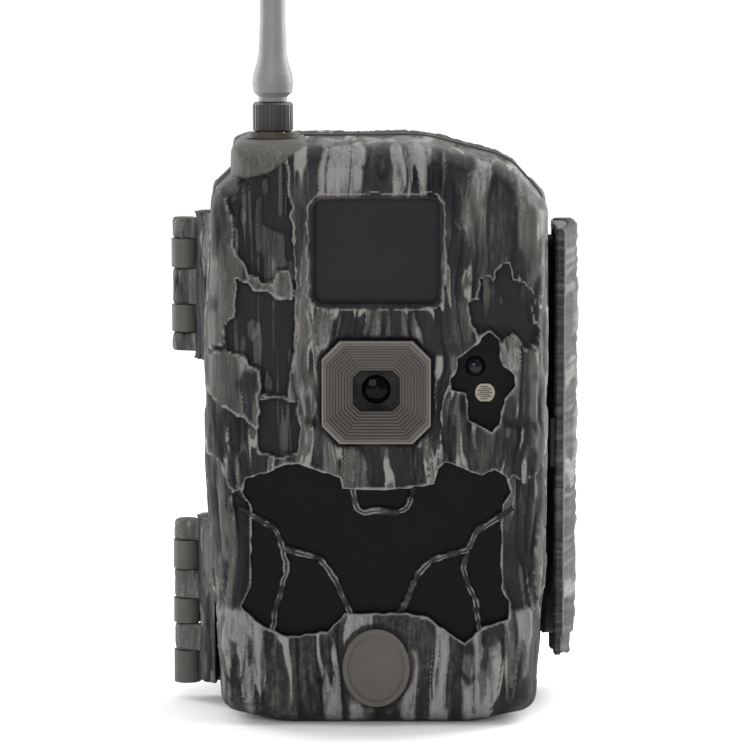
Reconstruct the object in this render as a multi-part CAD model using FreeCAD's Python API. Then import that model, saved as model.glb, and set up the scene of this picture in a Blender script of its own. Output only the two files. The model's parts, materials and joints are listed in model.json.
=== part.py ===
import FreeCAD, Part
import math
import os

# Trail camera, millimetres. +Z up, +X to the right seen from the front, the front faces -Y.
# The origin is the middle of the footprint, on the surface the camera stands on.

HALF_WIDTH = 51.4
HALF_DEPTH = 38.0
GAP = 0.15

# Case outline in X, Z with the corner radius at each point, anticlockwise seen from the front.
# It dips under Z 0 so that both shells can be trimmed to one flat sole.
CASE_OUTLINE = [
    (24.0, -1.0, 30.0),
    (40.2, 2.6, 6.0),
    (42.3, 40.0, 60.0),
    (42.3, 128.0, 8.0),
    (33.0, 138.0, 14.0),
    (12.0, 143.6, 30.0),
    (-35.4, 143.2, 3.0),
    (-35.6, 135.4, 2.0),
    (-40.6, 130.6, 5.0),
    (-42.3, 100.0, 40.0),
    (-42.3, 60.0, 40.0),
    (-38.8, 2.6, 6.0),
    (-24.0, -1.0, 30.0),
]

# Depths along Y
FRONT_FACE = -36.5
FRONT_INSIDE = -34.0
FRONT_RIM = -2.2
REAR_RIM = -1.8
REAR_INSIDE = 20.8
REAR_FACE = 26.0

# Sections of the outer surfaces: depth along Y, inset from the case outline
FRONT_SECTIONS = [(FRONT_FACE, 5.2), (-33.0, 2.2), (-24.0, 0.7), (FRONT_RIM, 0.4)]
REAR_SECTIONS = [(REAR_RIM, 0.0), (12.0, 0.3), (21.0, 2.2), (REAR_FACE, 6.0)]

# Case hinge on the left, latch on the right
HINGE_X = -48.0
HINGE_Y = -2.0
KNUCKLE_R = 3.4
PIN_R = 1.2
REAR_KNUCKLES = [(4.2, 12.4), (19.6, 25.8), (33.5, 40.7), (93.9, 100.6), (110.1, 117.2)]
FRONT_KNUCKLES = [(12.6, 19.4), (26.0, 33.3), (40.9, 46.0), (89.0, 93.7), (100.8, 109.9), (117.4, 122.6)]
PIN_SPANS = [(5.6, 45.4), (89.6, 122.0)]
LATCH_X = 47.4
LATCH_Y = 13.0
LATCH_Z = (14.6, 121.0)
LATCH_EARS = [(30.0, 36.0), (100.0, 106.0)]

# Front face features: centres in X, Z
PIR_CENTRE = (0.0, 116.8)
PIR_SIZE = (32.4, 25.4)
LENS_CENTRE = (0.0, 82.6)
BEZEL_HALF = (13.3, 12.6)
LED_CENTRE = (24.1, 88.7)
LIGHT_SENSOR_CENTRE = (26.5, 82.2)
BADGE_CENTRE = (0.0, 14.6)
BADGE_HALF = (8.2, 9.6)

SENSOR_OUTLINE = [
    (23.1, 93.0), (25.8, 96.2), (27.5, 97.4), (29.6, 95.4), (30.2, 91.0), (30.6, 89.2),
    (33.8, 86.6), (34.0, 84.2), (31.2, 80.6), (29.8, 74.3), (28.0, 72.6), (26.2, 73.8),
    (22.6, 75.9), (22.0, 82.2), (18.2, 83.2), (18.2, 85.6), (19.8, 88.8), (19.8, 90.8),
]
INFRARED_OUTLINE = [
    (-32.8, 58.2), (-31.6, 61.4), (-26.4, 62.8), (-22.6, 64.9), (-18.6, 64.9), (-8.8, 61.6),
    (-8.2, 58.8), (4.2, 58.7), (14.1, 60.0), (15.2, 64.0), (17.0, 65.3), (25.8, 62.0),
    (28.8, 63.6), (31.9, 61.6), (32.9, 58.0), (30.6, 54.6), (30.6, 34.0), (32.6, 30.6),
    (32.6, 26.6), (26.0, 24.2), (21.6, 20.4), (12.6, 26.8), (7.8, 27.8), (-7.8, 27.8),
    (-12.2, 23.2), (-21.8, 22.2), (-28.0, 24.7), (-33.0, 29.6), (-30.6, 34.4), (-30.6, 54.6),
]
LEFT_TWIGS = [
    [(-32.0, 53.0), (-24.8, 48.8), (-22.8, 43.8)],
    [(-22.8, 43.8), (-13.6, 41.4), (-10.8, 37.6), (-6.0, 27.4)],
    [(-22.8, 43.8), (-21.8, 38.8), (-24.6, 29.2), (-25.6, 23.0)],
]
RIGHT_TWIGS = [
    [(32.0, 53.0), (24.4, 48.0), (22.4, 43.6)],
    [(22.4, 43.6), (13.4, 41.0), (10.2, 37.4), (5.4, 27.0)],
    [(22.4, 43.6), (21.2, 38.8), (24.2, 31.0), (25.6, 22.6)],
]
TWIG_WIDTH = 1.7
TOP_TWIG = [(-6.0, 60.6), (-4.6, 53.6), (-3.2, 52.6), (0.0, 53.4), (4.2, 52.6), (7.6, 53.6), (9.6, 61.0)]

# Antenna
ANTENNA_X = -25.5
ANTENNA_Y = -14.0
SOCKET_TOP = 143.2
NUT_Z = (144.7, 151.9)
WHIP_TOP = 282.0

# Boards and panels inside the front case
MAIN_BOARD_Y = (-13.0, -11.4)
PANEL_Y = (-7.0, -5.0)
LED_BOARD_Y = (-23.0, -21.4)
PANEL_SCREWS = [(-34.2, 24.0), (-36.0, 70.0), (-35.6, 122.0), (35.4, 24.0), (36.0, 70.0), (36.0, 122.0)]
BOARD_SCREWS = [(-26.0, 101.0), (28.0, 103.0), (-26.0, 10.0), (26.0, 10.0)]
DISPLAY_CENTRE = (0.0, 96.0)
DISPLAY_SIZE = (50.0, 38.0)
PAD_CENTRE = (14.0, 58.0)
BUTTON_PITCH = 9.5
SWITCH_CENTRE = (-16.0, 58.0)
SPEAKER_CENTRE = (26.0, 30.0)
SD_BOX = (-31.0, -7.0, 22.0, 53.0)
SIM_BOX = (-4.0, 11.0, 22.0, 47.0)
SCOOP = (-32.0, 12.0, 10.0, 21.6)

# Battery drawer in the rear case
CELL_R = 7.15
CELL_LENGTH = 49.0
CELL_PITCH = 14.8
CELL_COUNT = 8
CELL_Y = 12.0
DRAWER_HALF_X = 28.3
DRAWER_Y = (3.4, 20.5)
DRAWER_TOP = 123.5
BAY_HALF_X = 28.7
DIVIDER_Y = (1.2, 2.8)
DIVIDER_SCREWS = [(sign * 33.2, z) for sign in (-1, 1) for z in (24.0, 118.0)]
CONTACT_PINS = [(x, 128.0) for x in (-12.0, -4.0, 4.0, 12.0)]

# Tree bracket on the back
BRACKET_Z = (50.0, 118.0)
BRACKET_HALF_X = 30.0
BRACKET_SCREWS = [(sx * 17.0, z) for sx in (-1, 1) for z in (58.0, 110.0)]
STRAP_Z = (78.0, 106.0)
CABLE_CENTRE = (32.2, 63.0)
CABLE_R = 3.2
TRIPOD_Z = 30.0
TRIPOD_R = 2.6

JACK_X = 34.2
JACK_Y = 9.0


def box(x0, x1, y0, y1, z0, z1):
    return Part.makeBox(x1 - x0, y1 - y0, z1 - z0, FreeCAD.Vector(x0, y0, z0))


def rod_y(x, z, radius, y0, y1):
    return Part.makeCylinder(radius, y1 - y0, FreeCAD.Vector(x, y0, z), FreeCAD.Vector(0, 1, 0))


def rod_z(x, y, radius, z0, z1):
    return Part.makeCylinder(radius, z1 - z0, FreeCAD.Vector(x, y, z0))


def rod_x(y, z, radius, x0, x1):
    return Part.makeCylinder(radius, x1 - x0, FreeCAD.Vector(x0, y, z), FreeCAD.Vector(1, 0, 0))


def fuse(shapes):
    return shapes[0].multiFuse(shapes[1:]).removeSplitter()


def cut(shape, tools):
    return shape.cut(Part.makeCompound(tools))


def prism(points, y0, y1):
    """Straight prism along Y from an outline in X, Z."""
    corners = [FreeCAD.Vector(x, y0, z) for x, z in points]
    face = Part.Face(Part.makePolygon(corners + corners[:1]))
    return face.extrude(FreeCAD.Vector(0, y1 - y0, 0))


def plan_prism(points, z0, z1):
    """Straight prism along Z from an outline in X, Y."""
    corners = [FreeCAD.Vector(x, y, z0) for x, y in points]
    face = Part.Face(Part.makePolygon(corners + corners[:1]))
    return face.extrude(FreeCAD.Vector(0, 0, z1 - z0))


def soft_box(x0, x1, y0, y1, z0, z1, radius):
    """Box with the four edges along Y rounded."""
    shape = box(x0, x1, y0, y1, z0, z1)
    edges = [e for e in shape.Edges if abs(e.tangentAt(e.FirstParameter).y) > 0.9]
    return shape.makeFillet(radius, edges)


def revolve_z(profile, x, y):
    """Solid of revolution about a vertical axis from radius, height pairs."""
    corners = [FreeCAD.Vector(r, 0, z) for r, z in profile]
    face = Part.Face(Part.makePolygon(corners + corners[:1]))
    solid = face.revolve(FreeCAD.Vector(0, 0, 0), FreeCAD.Vector(0, 0, 1), 360)
    solid.translate(FreeCAD.Vector(x, y, 0))
    return solid


def inset_outline(inset):
    """The case outline moved inward, as corner points and radii."""
    count = len(CASE_OUTLINE)
    lines = []
    for i in range(count):
        x0, z0, _ = CASE_OUTLINE[i]
        x1, z1, _ = CASE_OUTLINE[(i + 1) % count]
        length = math.hypot(x1 - x0, z1 - z0)
        ux = (x1 - x0) / length
        uz = (z1 - z0) / length
        lines.append((x0 - uz * inset, z0 + ux * inset, ux, uz))
    corners = []
    for i in range(count):
        ax, az, aux, auz = lines[i - 1]
        bx, bz, bux, buz = lines[i]
        cross = aux * buz - auz * bux
        reach = ((bx - ax) * buz - (bz - az) * bux) / cross
        radius = max(CASE_OUTLINE[i][2] - inset, 1.5)
        corners.append((ax + aux * reach, az + auz * reach, radius))
    return corners


def outline_wire(inset, y):
    """Closed wire of the case outline with rounded corners, in the plane at y."""
    corners = inset_outline(inset)
    count = len(corners)
    arcs = []
    for i in range(count):
        x, z, radius = corners[i]
        here = FreeCAD.Vector(x, y, z)
        before = FreeCAD.Vector(corners[i - 1][0], y, corners[i - 1][1]) - here
        after = FreeCAD.Vector(corners[(i + 1) % count][0], y, corners[(i + 1) % count][1]) - here
        half = before.getAngle(after) / 2
        before.normalize()
        after.normalize()
        tangent = radius / math.tan(half)
        middle = before + after
        middle.normalize()
        depth = radius / math.sin(half) - radius
        arcs.append((here + before * tangent, here + middle * depth, here + after * tangent))
    edges = []
    for i in range(count):
        start, middle, end = arcs[i]
        edges.append(Part.Arc(start, middle, end).toShape())
        edges.append(Part.makeLine(end, arcs[(i + 1) % count][0]))
    return Part.Wire(edges)


def case_solid(sections):
    """Loft through the case outline at each (depth, inset) pair."""
    return Part.makeLoft([outline_wire(inset, y) for y, inset in sections], True, True)


def window_opening(centre, size, y0, y1, radius):
    """Rounded rectangular prism along Y about a centre in X, Z."""
    x, z = centre
    return soft_box(x - size[0] / 2, x + size[0] / 2, y0, y1, z - size[1] / 2, z + size[1] / 2, radius)


def below_sole():
    return box(-60, 60, -50, 50, -5, 0)


def octagon(centre, half, chamfer):
    cx, cz = centre
    hx, hz = half
    return [
        (cx - hx + chamfer, cz - hz), (cx + hx - chamfer, cz - hz), (cx + hx, cz - hz + chamfer),
        (cx + hx, cz + hz - chamfer), (cx + hx - chamfer, cz + hz), (cx - hx + chamfer, cz + hz),
        (cx - hx, cz + hz - chamfer), (cx - hx, cz - hz + chamfer),
    ]


def twig(points, y0, y1):
    """Bar of constant width that follows a bent line, with round joints."""
    pieces = []
    for (x0, z0), (x1, z1) in zip(points, points[1:]):
        length = math.hypot(x1 - x0, z1 - z0)
        nx = -(z1 - z0) / length * TWIG_WIDTH / 2
        nz = (x1 - x0) / length * TWIG_WIDTH / 2
        bar = [(x0 + nx, z0 + nz), (x1 + nx, z1 + nz), (x1 - nx, z1 - nz), (x0 - nx, z0 - nz)]
        pieces.append(prism(bar, y0, y1))
        pieces.append(rod_y(x0, z0, TWIG_WIDTH / 2, y0, y1))
    return pieces


def countersunk_screw(x, z, y_head, direction, length, radius=1.15, head_radius=2.2):
    """Screw along Y. direction is +1 when the shank runs toward +Y from its head."""
    start = FreeCAD.Vector(x, y_head, z)
    along = FreeCAD.Vector(0, direction, 0)
    head = Part.makeCylinder(head_radius, 1.2, start, along)
    shank = Part.makeCylinder(radius, length, start, along)
    slot = box(x - 0.3, x + 0.3, y_head - 0.5, y_head + 0.5, z - 1.5, z + 1.5)
    cross = box(x - 1.5, x + 1.5, y_head - 0.5, y_head + 0.5, z - 0.3, z + 0.3)
    return cut(fuse([head, shank]), [slot, cross])


def countersunk_screws(places, y_head, direction, length):
    return Part.makeCompound([countersunk_screw(x, z, y_head, direction, length) for x, z in places])


def barrel_lobe(z0, z1, arm_y0, arm_y1):
    """One hinge knuckle with the arm that ties it to its shell."""
    knuckle = rod_z(HINGE_X, HINGE_Y, KNUCKLE_R, z0, z1)
    arm_x = -40.4 if z0 > 60.0 else -37.2 - 0.05 * z0
    arm = box(HINGE_X, arm_x, arm_y0, arm_y1, z0, z1)
    bore = rod_z(HINGE_X, HINGE_Y, PIN_R + 0.06, z0 - 1, z1 + 1)
    return cut(fuse([knuckle, arm]), [bore])


def rim_ring(y0, y1, outer_inset, inner_inset):
    """Band that follows the case outline between two insets."""
    outside = case_solid([(y0, outer_inset), (y1, outer_inset)])
    inside = case_solid([(y0 - 1, inner_inset), (y1 + 1, inner_inset)])
    return outside.cut(inside)


def antenna_block(grow):
    x0, x1 = -35.4 - grow, -18.0 + grow
    block = box(x0, x1, -31.0 - grow, -2.6 + min(grow, 0.0), 134.4 - grow, SOCKET_TOP)
    upright = [e for e in block.Edges if abs(e.tangentAt(e.FirstParameter).z) > 0.9]
    return block.makeFillet(3.0, [e for e in upright if e.CenterOfMass.y < -10])


def infrared_opening(y0, y1):
    opening = prism(INFRARED_OUTLINE, y0, y1)
    keep = []
    for branch in LEFT_TWIGS + RIGHT_TWIGS + [TOP_TWIG]:
        keep += twig(branch, y0, y1)
    return cut(opening, keep)


def front_shell():
    outer = case_solid(FRONT_SECTIONS)
    inner = case_solid([(FRONT_INSIDE, 5.8), (-31.5, 4.2), (-24.0, 3.0), (FRONT_RIM + 1.0, 2.8)])
    shell = outer.cut(inner)
    additions = []
    for x, z in PANEL_SCREWS:
        side = 1 if x > 0 else -1
        rib = box(min(x, side * 40.6), max(x, side * 40.6), -25.0, PANEL_Y[0] - 0.1, z - 1.0, z + 1.0)
        additions += [rod_y(x, z, 2.5, -25.0, PANEL_Y[0] - 0.1), rib]
    for x, z in BOARD_SCREWS:
        additions.append(rod_y(x, z, 2.2, -35.0, MAIN_BOARD_Y[0] - 0.05))
    for z0, z1 in FRONT_KNUCKLES:
        additions.append(barrel_lobe(z0, z1, HINGE_Y - KNUCKLE_R, HINGE_Y - 0.4))
    shell = fuse([shell] + additions)
    tools = [
        window_opening(PIR_CENTRE, PIR_SIZE, -40, -30, 2.2),
        prism(octagon(LENS_CENTRE, (BEZEL_HALF[0] + GAP, BEZEL_HALF[1] + GAP), 4.4), -40, -30),
        prism(SENSOR_OUTLINE, -40, -30),
        infrared_opening(-40, -30),
        antenna_block(0.1),
        box(-35.5, -17.9, -31.1, 0, 140.0, 150.0),
        below_sole(),
    ]
    for x, z in PANEL_SCREWS:
        tools.append(rod_y(x, z, 1.2, -18.0, 0))
    for x, z in BOARD_SCREWS:
        tools.append(rod_y(x, z, 1.2, -24.0, -10.0))
    return cut(shell, tools)


def badge():
    cx, cz = BADGE_CENTRE
    oval = Part.Ellipse(FreeCAD.Vector(0, 0, 0), BADGE_HALF[1], BADGE_HALF[0]).toShape()
    rim = Part.Ellipse(FreeCAD.Vector(0, 0, 0), BADGE_HALF[1] - 1.2, BADGE_HALF[0] - 1.2).toShape()
    plates = []
    for edge, height in ((oval, 1.3), (rim, 0.5)):
        face = Part.Face(Part.Wire([edge]))
        face.rotate(FreeCAD.Vector(0, 0, 0), FreeCAD.Vector(0, 0, 1), 90)
        face.rotate(FreeCAD.Vector(0, 0, 0), FreeCAD.Vector(1, 0, 0), 90)
        face.translate(FreeCAD.Vector(cx, -36.55 if height > 1 else -37.85, cz))
        plates.append(face.extrude(FreeCAD.Vector(0, -height if height > 1 else height, 0)))
    return plates[0].cut(plates[1])


def lens_bezel():
    body = prism(octagon(LENS_CENTRE, BEZEL_HALF, 4.4), -HALF_DEPTH, -31.4)
    flange = prism(octagon(LENS_CENTRE, (14.6, 13.4), 4.8), -33.9, -31.4)
    tools = []
    for step in range(9):
        inset = 1.1 + 0.72 * step
        half = (BEZEL_HALF[0] - inset, BEZEL_HALF[1] - inset)
        tools.append(prism(octagon(LENS_CENTRE, half, 4.4 - 0.28 * step), -39, -37.6 + 0.42 * step))
    tools.append(prism(octagon(LENS_CENTRE, (5.9, 5.7), 1.9), -39, -30))
    return cut(fuse([body, flange]), tools)


def lens_barrel():
    x, z = LENS_CENTRE
    outside = [rod_y(x, z, 5.4, -31.2, -20.0), rod_y(x, z, 8.0, -23.0, -20.0)]
    bores = [rod_y(x, z, 3.6, -32, -28.0), rod_y(x, z, 2.8, -29, -19)]
    for groove in range(4):
        ring = rod_y(x, z, 5.6, -29.0 + 1.6 * groove, -28.3 + 1.6 * groove)
        bores.append(ring.cut(rod_y(x, z, 5.0, -30, -19)))
    return cut(fuse(outside), bores)


def lens_glass():
    x, z = LENS_CENTRE
    disc = rod_y(x, z, 3.55, -31.8, -28.1)
    ball = Part.makeSphere(6.4, FreeCAD.Vector(x, -31.8 + 6.4, z))
    return disc.common(ball)


def image_sensor():
    x, z = LENS_CENTRE
    board = box(x - 10, x + 10, -16.0, -14.6, z - 9, z + 9)
    chip = box(x - 4, x + 4, -16.7, -16.0, z - 3.2, z + 3.2)
    header = box(x - 8, x + 8, -14.6, -13.1, z - 8, z - 5)
    return fuse([board, chip, header])


def ir_cut_housing():
    x, z = LENS_CENTRE
    block = box(x - 16, x + 9, -19.9, -16.8, z - 7, z + 7)
    slot = box(x - 15, x + 6, -18.9, -17.8, z - 5.2, z + 5.2)
    window = rod_y(x, z, 3.2, -20.5, -16)
    return cut(block, [slot, window])


def ir_cut_filter():
    x, z = LENS_CENTRE
    return box(x - 5.0, x + 5.0, -18.7, -18.0, z - 5.0, z + 5.0)


def window_pane(x0, x1, z0, z1, y0, y1, holes=()):
    pane = soft_box(x0, x1, y0, y1, z0, z1, 1.5)
    if holes:
        pane = cut(pane, [rod_y(x, z, radius, y0 - 1, y1 + 1) for x, z, radius in holes])
    return pane


def pir_housing():
    x, z = PIR_CENTRE
    def frame(half_x, half_z, y):
        corners = [(-half_x, -half_z), (half_x, -half_z), (half_x, half_z), (-half_x, half_z)]
        points = [FreeCAD.Vector(x + a, y, z + b) for a, b in corners]
        return Part.makePolygon(points + points[:1])
    outer = Part.makeLoft([frame(16.6, 12.8, -32.8), frame(7.4, 7.4, -15.0)], True, True)
    inner = Part.makeLoft([frame(15.4, 11.6, -32.8), frame(6.2, 6.2, -15.0)], True, True)
    return outer.cut(inner)


def pir_sensor():
    x, z = PIR_CENTRE
    can = rod_y(x, z, 4.6, -18.0, -14.0)
    brim = rod_y(x, z, 5.1, -14.0, -13.1)
    window = box(x - 2, x + 2, -18.5, -17.7, z - 1.5, z + 1.5)
    return fuse([can, brim]).cut(window)


def ir_led_board():
    return soft_box(-31.5, 31.5, LED_BOARD_Y[0], LED_BOARD_Y[1], 20.5, 65.0, 2.0)


def ir_leds():
    leds = []
    for column in range(8):
        for row in range(5):
            x = -25.2 + 7.2 * column
            z = 25.5 + 8.6 * row
            base = rod_y(x, z, 2.9, -24.2, -23.05)
            body = rod_y(x, z, 2.5, -29.6, -24.2)
            dome = Part.makeSphere(2.5, FreeCAD.Vector(x, -29.6, z))
            leds.append(fuse([base, body, dome]))
    return Part.makeCompound(leds)


def board_spacers():
    y0 = LED_BOARD_Y[1] + 0.05
    y1 = MAIN_BOARD_Y[0] - 0.05
    places = [(sx * 28.6, z) for sx in (-1, 1) for z in (22.8, 62.5)]
    return Part.makeCompound([rod_y(x, z, 1.8, y0, y1) for x, z in places])


def main_board():
    board = soft_box(-31.5, 31.5, MAIN_BOARD_Y[0], MAIN_BOARD_Y[1], 6.5, 124.5, 2.0)
    holes = [rod_y(x, z, 1.4, -14, -10) for x, z in BOARD_SCREWS]
    chips = [
        box(-24, -10, -11.4, -10.2, 62, 74),
        box(12, 24, -14.3, -13.0, 104, 114),
        box(-30, -21, -14.1, -13.0, 112, 121),
    ]
    return cut(fuse([board] + chips), holes)


def display():
    x, z = DISPLAY_CENTRE
    half_x = DISPLAY_SIZE[0] / 2
    half_z = DISPLAY_SIZE[1] / 2
    return box(x - half_x, x + half_x, -10.1, -7.3, z - half_z, z + half_z)


def display_window(grow, y0, y1):
    x, z = DISPLAY_CENTRE
    half_x = DISPLAY_SIZE[0] / 2 - 2.5 + grow
    half_z = DISPLAY_SIZE[1] / 2 - 2.5 + grow
    return soft_box(x - half_x, x + half_x, y0, y1, z - half_z, z + half_z, 1.5)


BUTTONS = {
    "button_up": (0, 1, 3.0),
    "button_down": (0, -1, 3.0),
    "button_left": (-1, 0, 3.0),
    "button_right": (1, 0, 3.0),
    "button_ok": (0, 0, 3.6),
}


def button_place(name):
    column, row, radius = BUTTONS[name]
    return PAD_CENTRE[0] + column * BUTTON_PITCH, PAD_CENTRE[1] + row * BUTTON_PITCH, radius


def button(name):
    x, z, radius = button_place(name)
    cap = rod_y(x, z, radius, -7.1, -3.5)
    edges = [e for e in cap.Edges if e.CenterOfMass.y > -4.0]
    cap = cap.makeFillet(0.5, edges)
    flange = rod_y(x, z, radius + 0.7, -7.9, -7.1)
    return fuse([cap, flange])


def panel_switches():
    parts = []
    for name in BUTTONS:
        x, z, _ = button_place(name)
        base = box(x - 2.6, x + 2.6, -11.35, -9.4, z - 2.6, z + 2.6)
        parts.append(fuse([base, rod_y(x, z, 1.5, -9.4, -8.5)]))
    x, z = SWITCH_CENTRE
    block = box(x - 6, x + 6, -11.35, -8.5, z - 2.6, z + 2.6)
    parts.append(block.cut(box(x - 4.2, x + 4.2, -10, -8, z - 1.3, z + 1.3)))
    return Part.makeCompound(parts)


def power_knob():
    x, z = SWITCH_CENTRE
    stem = box(x - 1.2, x + 1.2, -9.8, -7.9, z - 1.1, z + 1.1)
    plate = box(x - 3.4, x + 3.4, -8.3, -7.2, z - 2.0, z + 2.0)
    knob = box(x - 1.6, x + 1.6, -7.2, -3.7, z - 1.2, z + 1.2)
    grips = [box(x - 1.1 + 0.9 * i, x - 0.7 + 0.9 * i, -4.0, -3.0, z - 2, z + 2) for i in range(3)]
    return cut(fuse([stem, plate, knob]), grips)


def inner_panel():
    blank = case_solid([(PANEL_Y[0], 3.2), (PANEL_Y[1], 3.2)])
    holes = [
        display_window(0.0, -9, -3),
        soft_box(SCOOP[0], SCOOP[1], -9, -3, SCOOP[2], SCOOP[3], 2.0),
        window_opening(SWITCH_CENTRE, (8.0, 3.0), -9, -3, 0.3),
        box(-36, -17, -9, -3, 133.6, 150),
    ]
    for name in BUTTONS:
        x, z, radius = button_place(name)
        holes.append(rod_y(x, z, radius + 0.2, -9, -3))
    for x, z in PANEL_SCREWS:
        holes += [rod_y(x, z, 1.4, -9, -3), rod_y(x, z, 2.4, -6.3, -3)]
    for ring in range(3):
        for i in range(max(6 * ring, 1)):
            angle = 2 * math.pi * i / max(6 * ring, 1)
            x = SPEAKER_CENTRE[0] + 2.6 * ring * math.cos(angle)
            z = SPEAKER_CENTRE[1] + 2.6 * ring * math.sin(angle)
            holes.append(rod_y(x, z, 0.7, -9, -3))
    return cut(blank, holes)


def card_cage(x0, x1, z0, z1, card_y0, card_y1):
    """Thin metal cage on the main board, open at its lower end."""
    shell = box(x0, x1, -11.35, card_y1 + 0.35, z0, z1)
    space = box(x0 + 0.4, x1 - 0.4, card_y0 - 0.1, card_y1 + 0.1, z0 - 1, z1 - 1.2)
    return shell.cut(space)


def card_readers():
    sd = card_cage(SD_BOX[0], SD_BOX[1], SD_BOX[2], SD_BOX[3], -10.6, -8.5)
    sim = card_cage(SIM_BOX[0], SIM_BOX[1], SIM_BOX[2], SIM_BOX[3], -10.6, -9.8)
    return Part.makeCompound([sd, sim])


def sd_card():
    x0, x1, z1 = SD_BOX[0] + 0.6, SD_BOX[1] - 0.6, SD_BOX[3] - 3.0
    z0 = z1 - 32.0
    card = box(x0, x1, -10.6, -8.5, z0, z1)
    corner = prism([(x1 - 3.6, z1 + 0.1), (x1 + 0.1, z1 + 0.1), (x1 + 0.1, z1 - 3.6)], -11, -8)
    return card.cut(corner)


def sim_card():
    x0, x1, z1 = SIM_BOX[0] + 0.6, SIM_BOX[1] - 0.6, SIM_BOX[3] - 3.0
    z0 = z1 - 24.0
    card = box(x0, x1, -10.6, -9.8, z0, z1)
    corner = prism([(x1 - 2.6, z1 + 0.1), (x1 + 0.1, z1 + 0.1), (x1 + 0.1, z1 - 2.6)], -11, -9)
    return card.cut(corner)


def speaker():
    x, z = SPEAKER_CENTRE
    return fuse([rod_y(x, z, 6.8, -9.4, -7.1), rod_y(x, z, 4.0, -11.2, -9.4)])


def contact_pads():
    return Part.makeCompound([rod_y(x, z, 1.8, PANEL_Y[1], PANEL_Y[1] + 0.3) for x, z in CONTACT_PINS])


def power_pins():
    pins = []
    for x, z in CONTACT_PINS:
        pins.append(fuse([rod_y(x, z, 1.5, 0.4, 3.6), rod_y(x, z, 0.8, PANEL_Y[1] + 0.5, 0.4)]))
    return Part.makeCompound(pins)


def antenna_socket():
    block = antenna_block(0.0)
    ring = rod_z(ANTENNA_X, ANTENNA_Y, 6.6, SOCKET_TOP, 144.5)
    bore = rod_z(ANTENNA_X, ANTENNA_Y, 3.2, 130, 150)
    crown = case_solid([(-34.5, 4.0), (-31.0, 1.4), (-24.0, 0.3), (-1.0, 0.0)])
    return cut(fuse([block.common(crown), ring]), [bore])


def antenna_connector():
    thread = rod_z(ANTENNA_X, ANTENNA_Y, 3.1, 134.0, 150.6)
    flange = rod_z(ANTENNA_X, ANTENNA_Y, 4.4, 130.6, 134.2)
    tail = rod_z(ANTENNA_X, ANTENNA_Y, 1.6, 127.0, 130.6)
    bore = rod_z(ANTENNA_X, ANTENNA_Y, 1.6, 145.0, 151.0)
    return fuse([thread, flange, tail]).cut(bore)


def antenna_nut():
    z0, z1 = NUT_Z
    body = rod_z(ANTENNA_X, ANTENNA_Y, 4.95, z0, z1)
    chamfered = body.makeChamfer(0.5, [e for e in body.Edges if e.Closed])
    tools = [rod_z(ANTENNA_X, ANTENNA_Y, 3.2, z0 - 1, z1 + 1)]
    for i in range(28):
        angle = 2 * math.pi * i / 28
        x = ANTENNA_X + 5.05 * math.cos(angle)
        y = ANTENNA_Y + 5.05 * math.sin(angle)
        tools.append(rod_z(x, y, 0.34, z0 + 0.6, z1 - 0.6))
    return cut(chamfered, tools)


def antenna_whip():
    profile = [
        (0.0, 151.2), (1.4, 151.2), (1.4, 152.1), (3.5, 152.1), (3.5, 153.2), (4.7, 154.4), (5.0, 156.6),
        (4.8, 158.6), (3.9, 161.6), (3.4, 164.0), (3.1, 172.0), (2.9, 230.0), (2.6, WHIP_TOP - 1.6),
        (1.4, WHIP_TOP), (0.0, WHIP_TOP),
    ]
    return revolve_z(profile, ANTENNA_X, ANTENNA_Y)


def rear_shell():
    outer = case_solid(REAR_SECTIONS)
    inner = case_solid([(REAR_RIM - 1.0, 2.6), (12.0, 2.9), (REAR_INSIDE, 5.0)])
    shell = outer.cut(inner)
    additions = []
    for side in (-1, 1):
        edges = sorted((side * (BAY_HALF_X + 0.1), side * (BAY_HALF_X + 1.6)))
        additions.append(box(edges[0], edges[1], DIVIDER_Y[1] + 0.1, REAR_INSIDE + 0.5, 2.0, 128.0))
    additions.append(box(-22.0, 22.0, DIVIDER_Y[1] + 0.1, REAR_INSIDE + 0.5, 131.2, 133.2))
    for x, z in DIVIDER_SCREWS:
        additions.append(rod_y(x, z, 2.6, DIVIDER_Y[1] + 0.1, REAR_INSIDE + 0.5))
    for z0, z1 in REAR_KNUCKLES:
        additions.append(barrel_lobe(z0, z1, HINGE_Y + 0.4, HINGE_Y + KNUCKLE_R))
    for z0, z1 in LATCH_EARS:
        additions.append(rod_z(LATCH_X, LATCH_Y, 2.6, z0, z1))
        additions.append(box(40.8, LATCH_X, LATCH_Y - 2.0, LATCH_Y + 1.6, z0, z1))
    shell = fuse([shell] + additions)
    tools = [
        rim_ring(REAR_RIM - 0.5, -0.5, 1.35, 2.25),
        box(-BAY_HALF_X, BAY_HALF_X, DRAWER_Y[0] - 0.2, DRAWER_Y[1] + 0.2, -1, 8),
        rod_y(0, TRIPOD_Z, 4.6, REAR_INSIDE - 0.1, REAR_FACE + 1),
        rod_z(JACK_X, JACK_Y, 3.2, -1, 8),
        below_sole(),
    ]
    for x, z in DIVIDER_SCREWS:
        tools.append(rod_y(x, z, 1.2, 0, 14))
    for x, z in BRACKET_SCREWS:
        tools.append(rod_y(x, z, 1.2, REAR_INSIDE + 0.8, REAR_FACE + 1))
    for z0, z1 in LATCH_EARS:
        tools.append(rod_z(LATCH_X, LATCH_Y, PIN_R + 0.06, z0 - 1, z1 + 1))
    return cut(shell, tools)


def hinge_pins():
    return Part.makeCompound([rod_z(HINGE_X, HINGE_Y, PIN_R, z0, z1) for z0, z1 in PIN_SPANS])


def case_gasket():
    return rim_ring(REAR_RIM - 0.25, -0.55, 1.45, 2.15)


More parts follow.
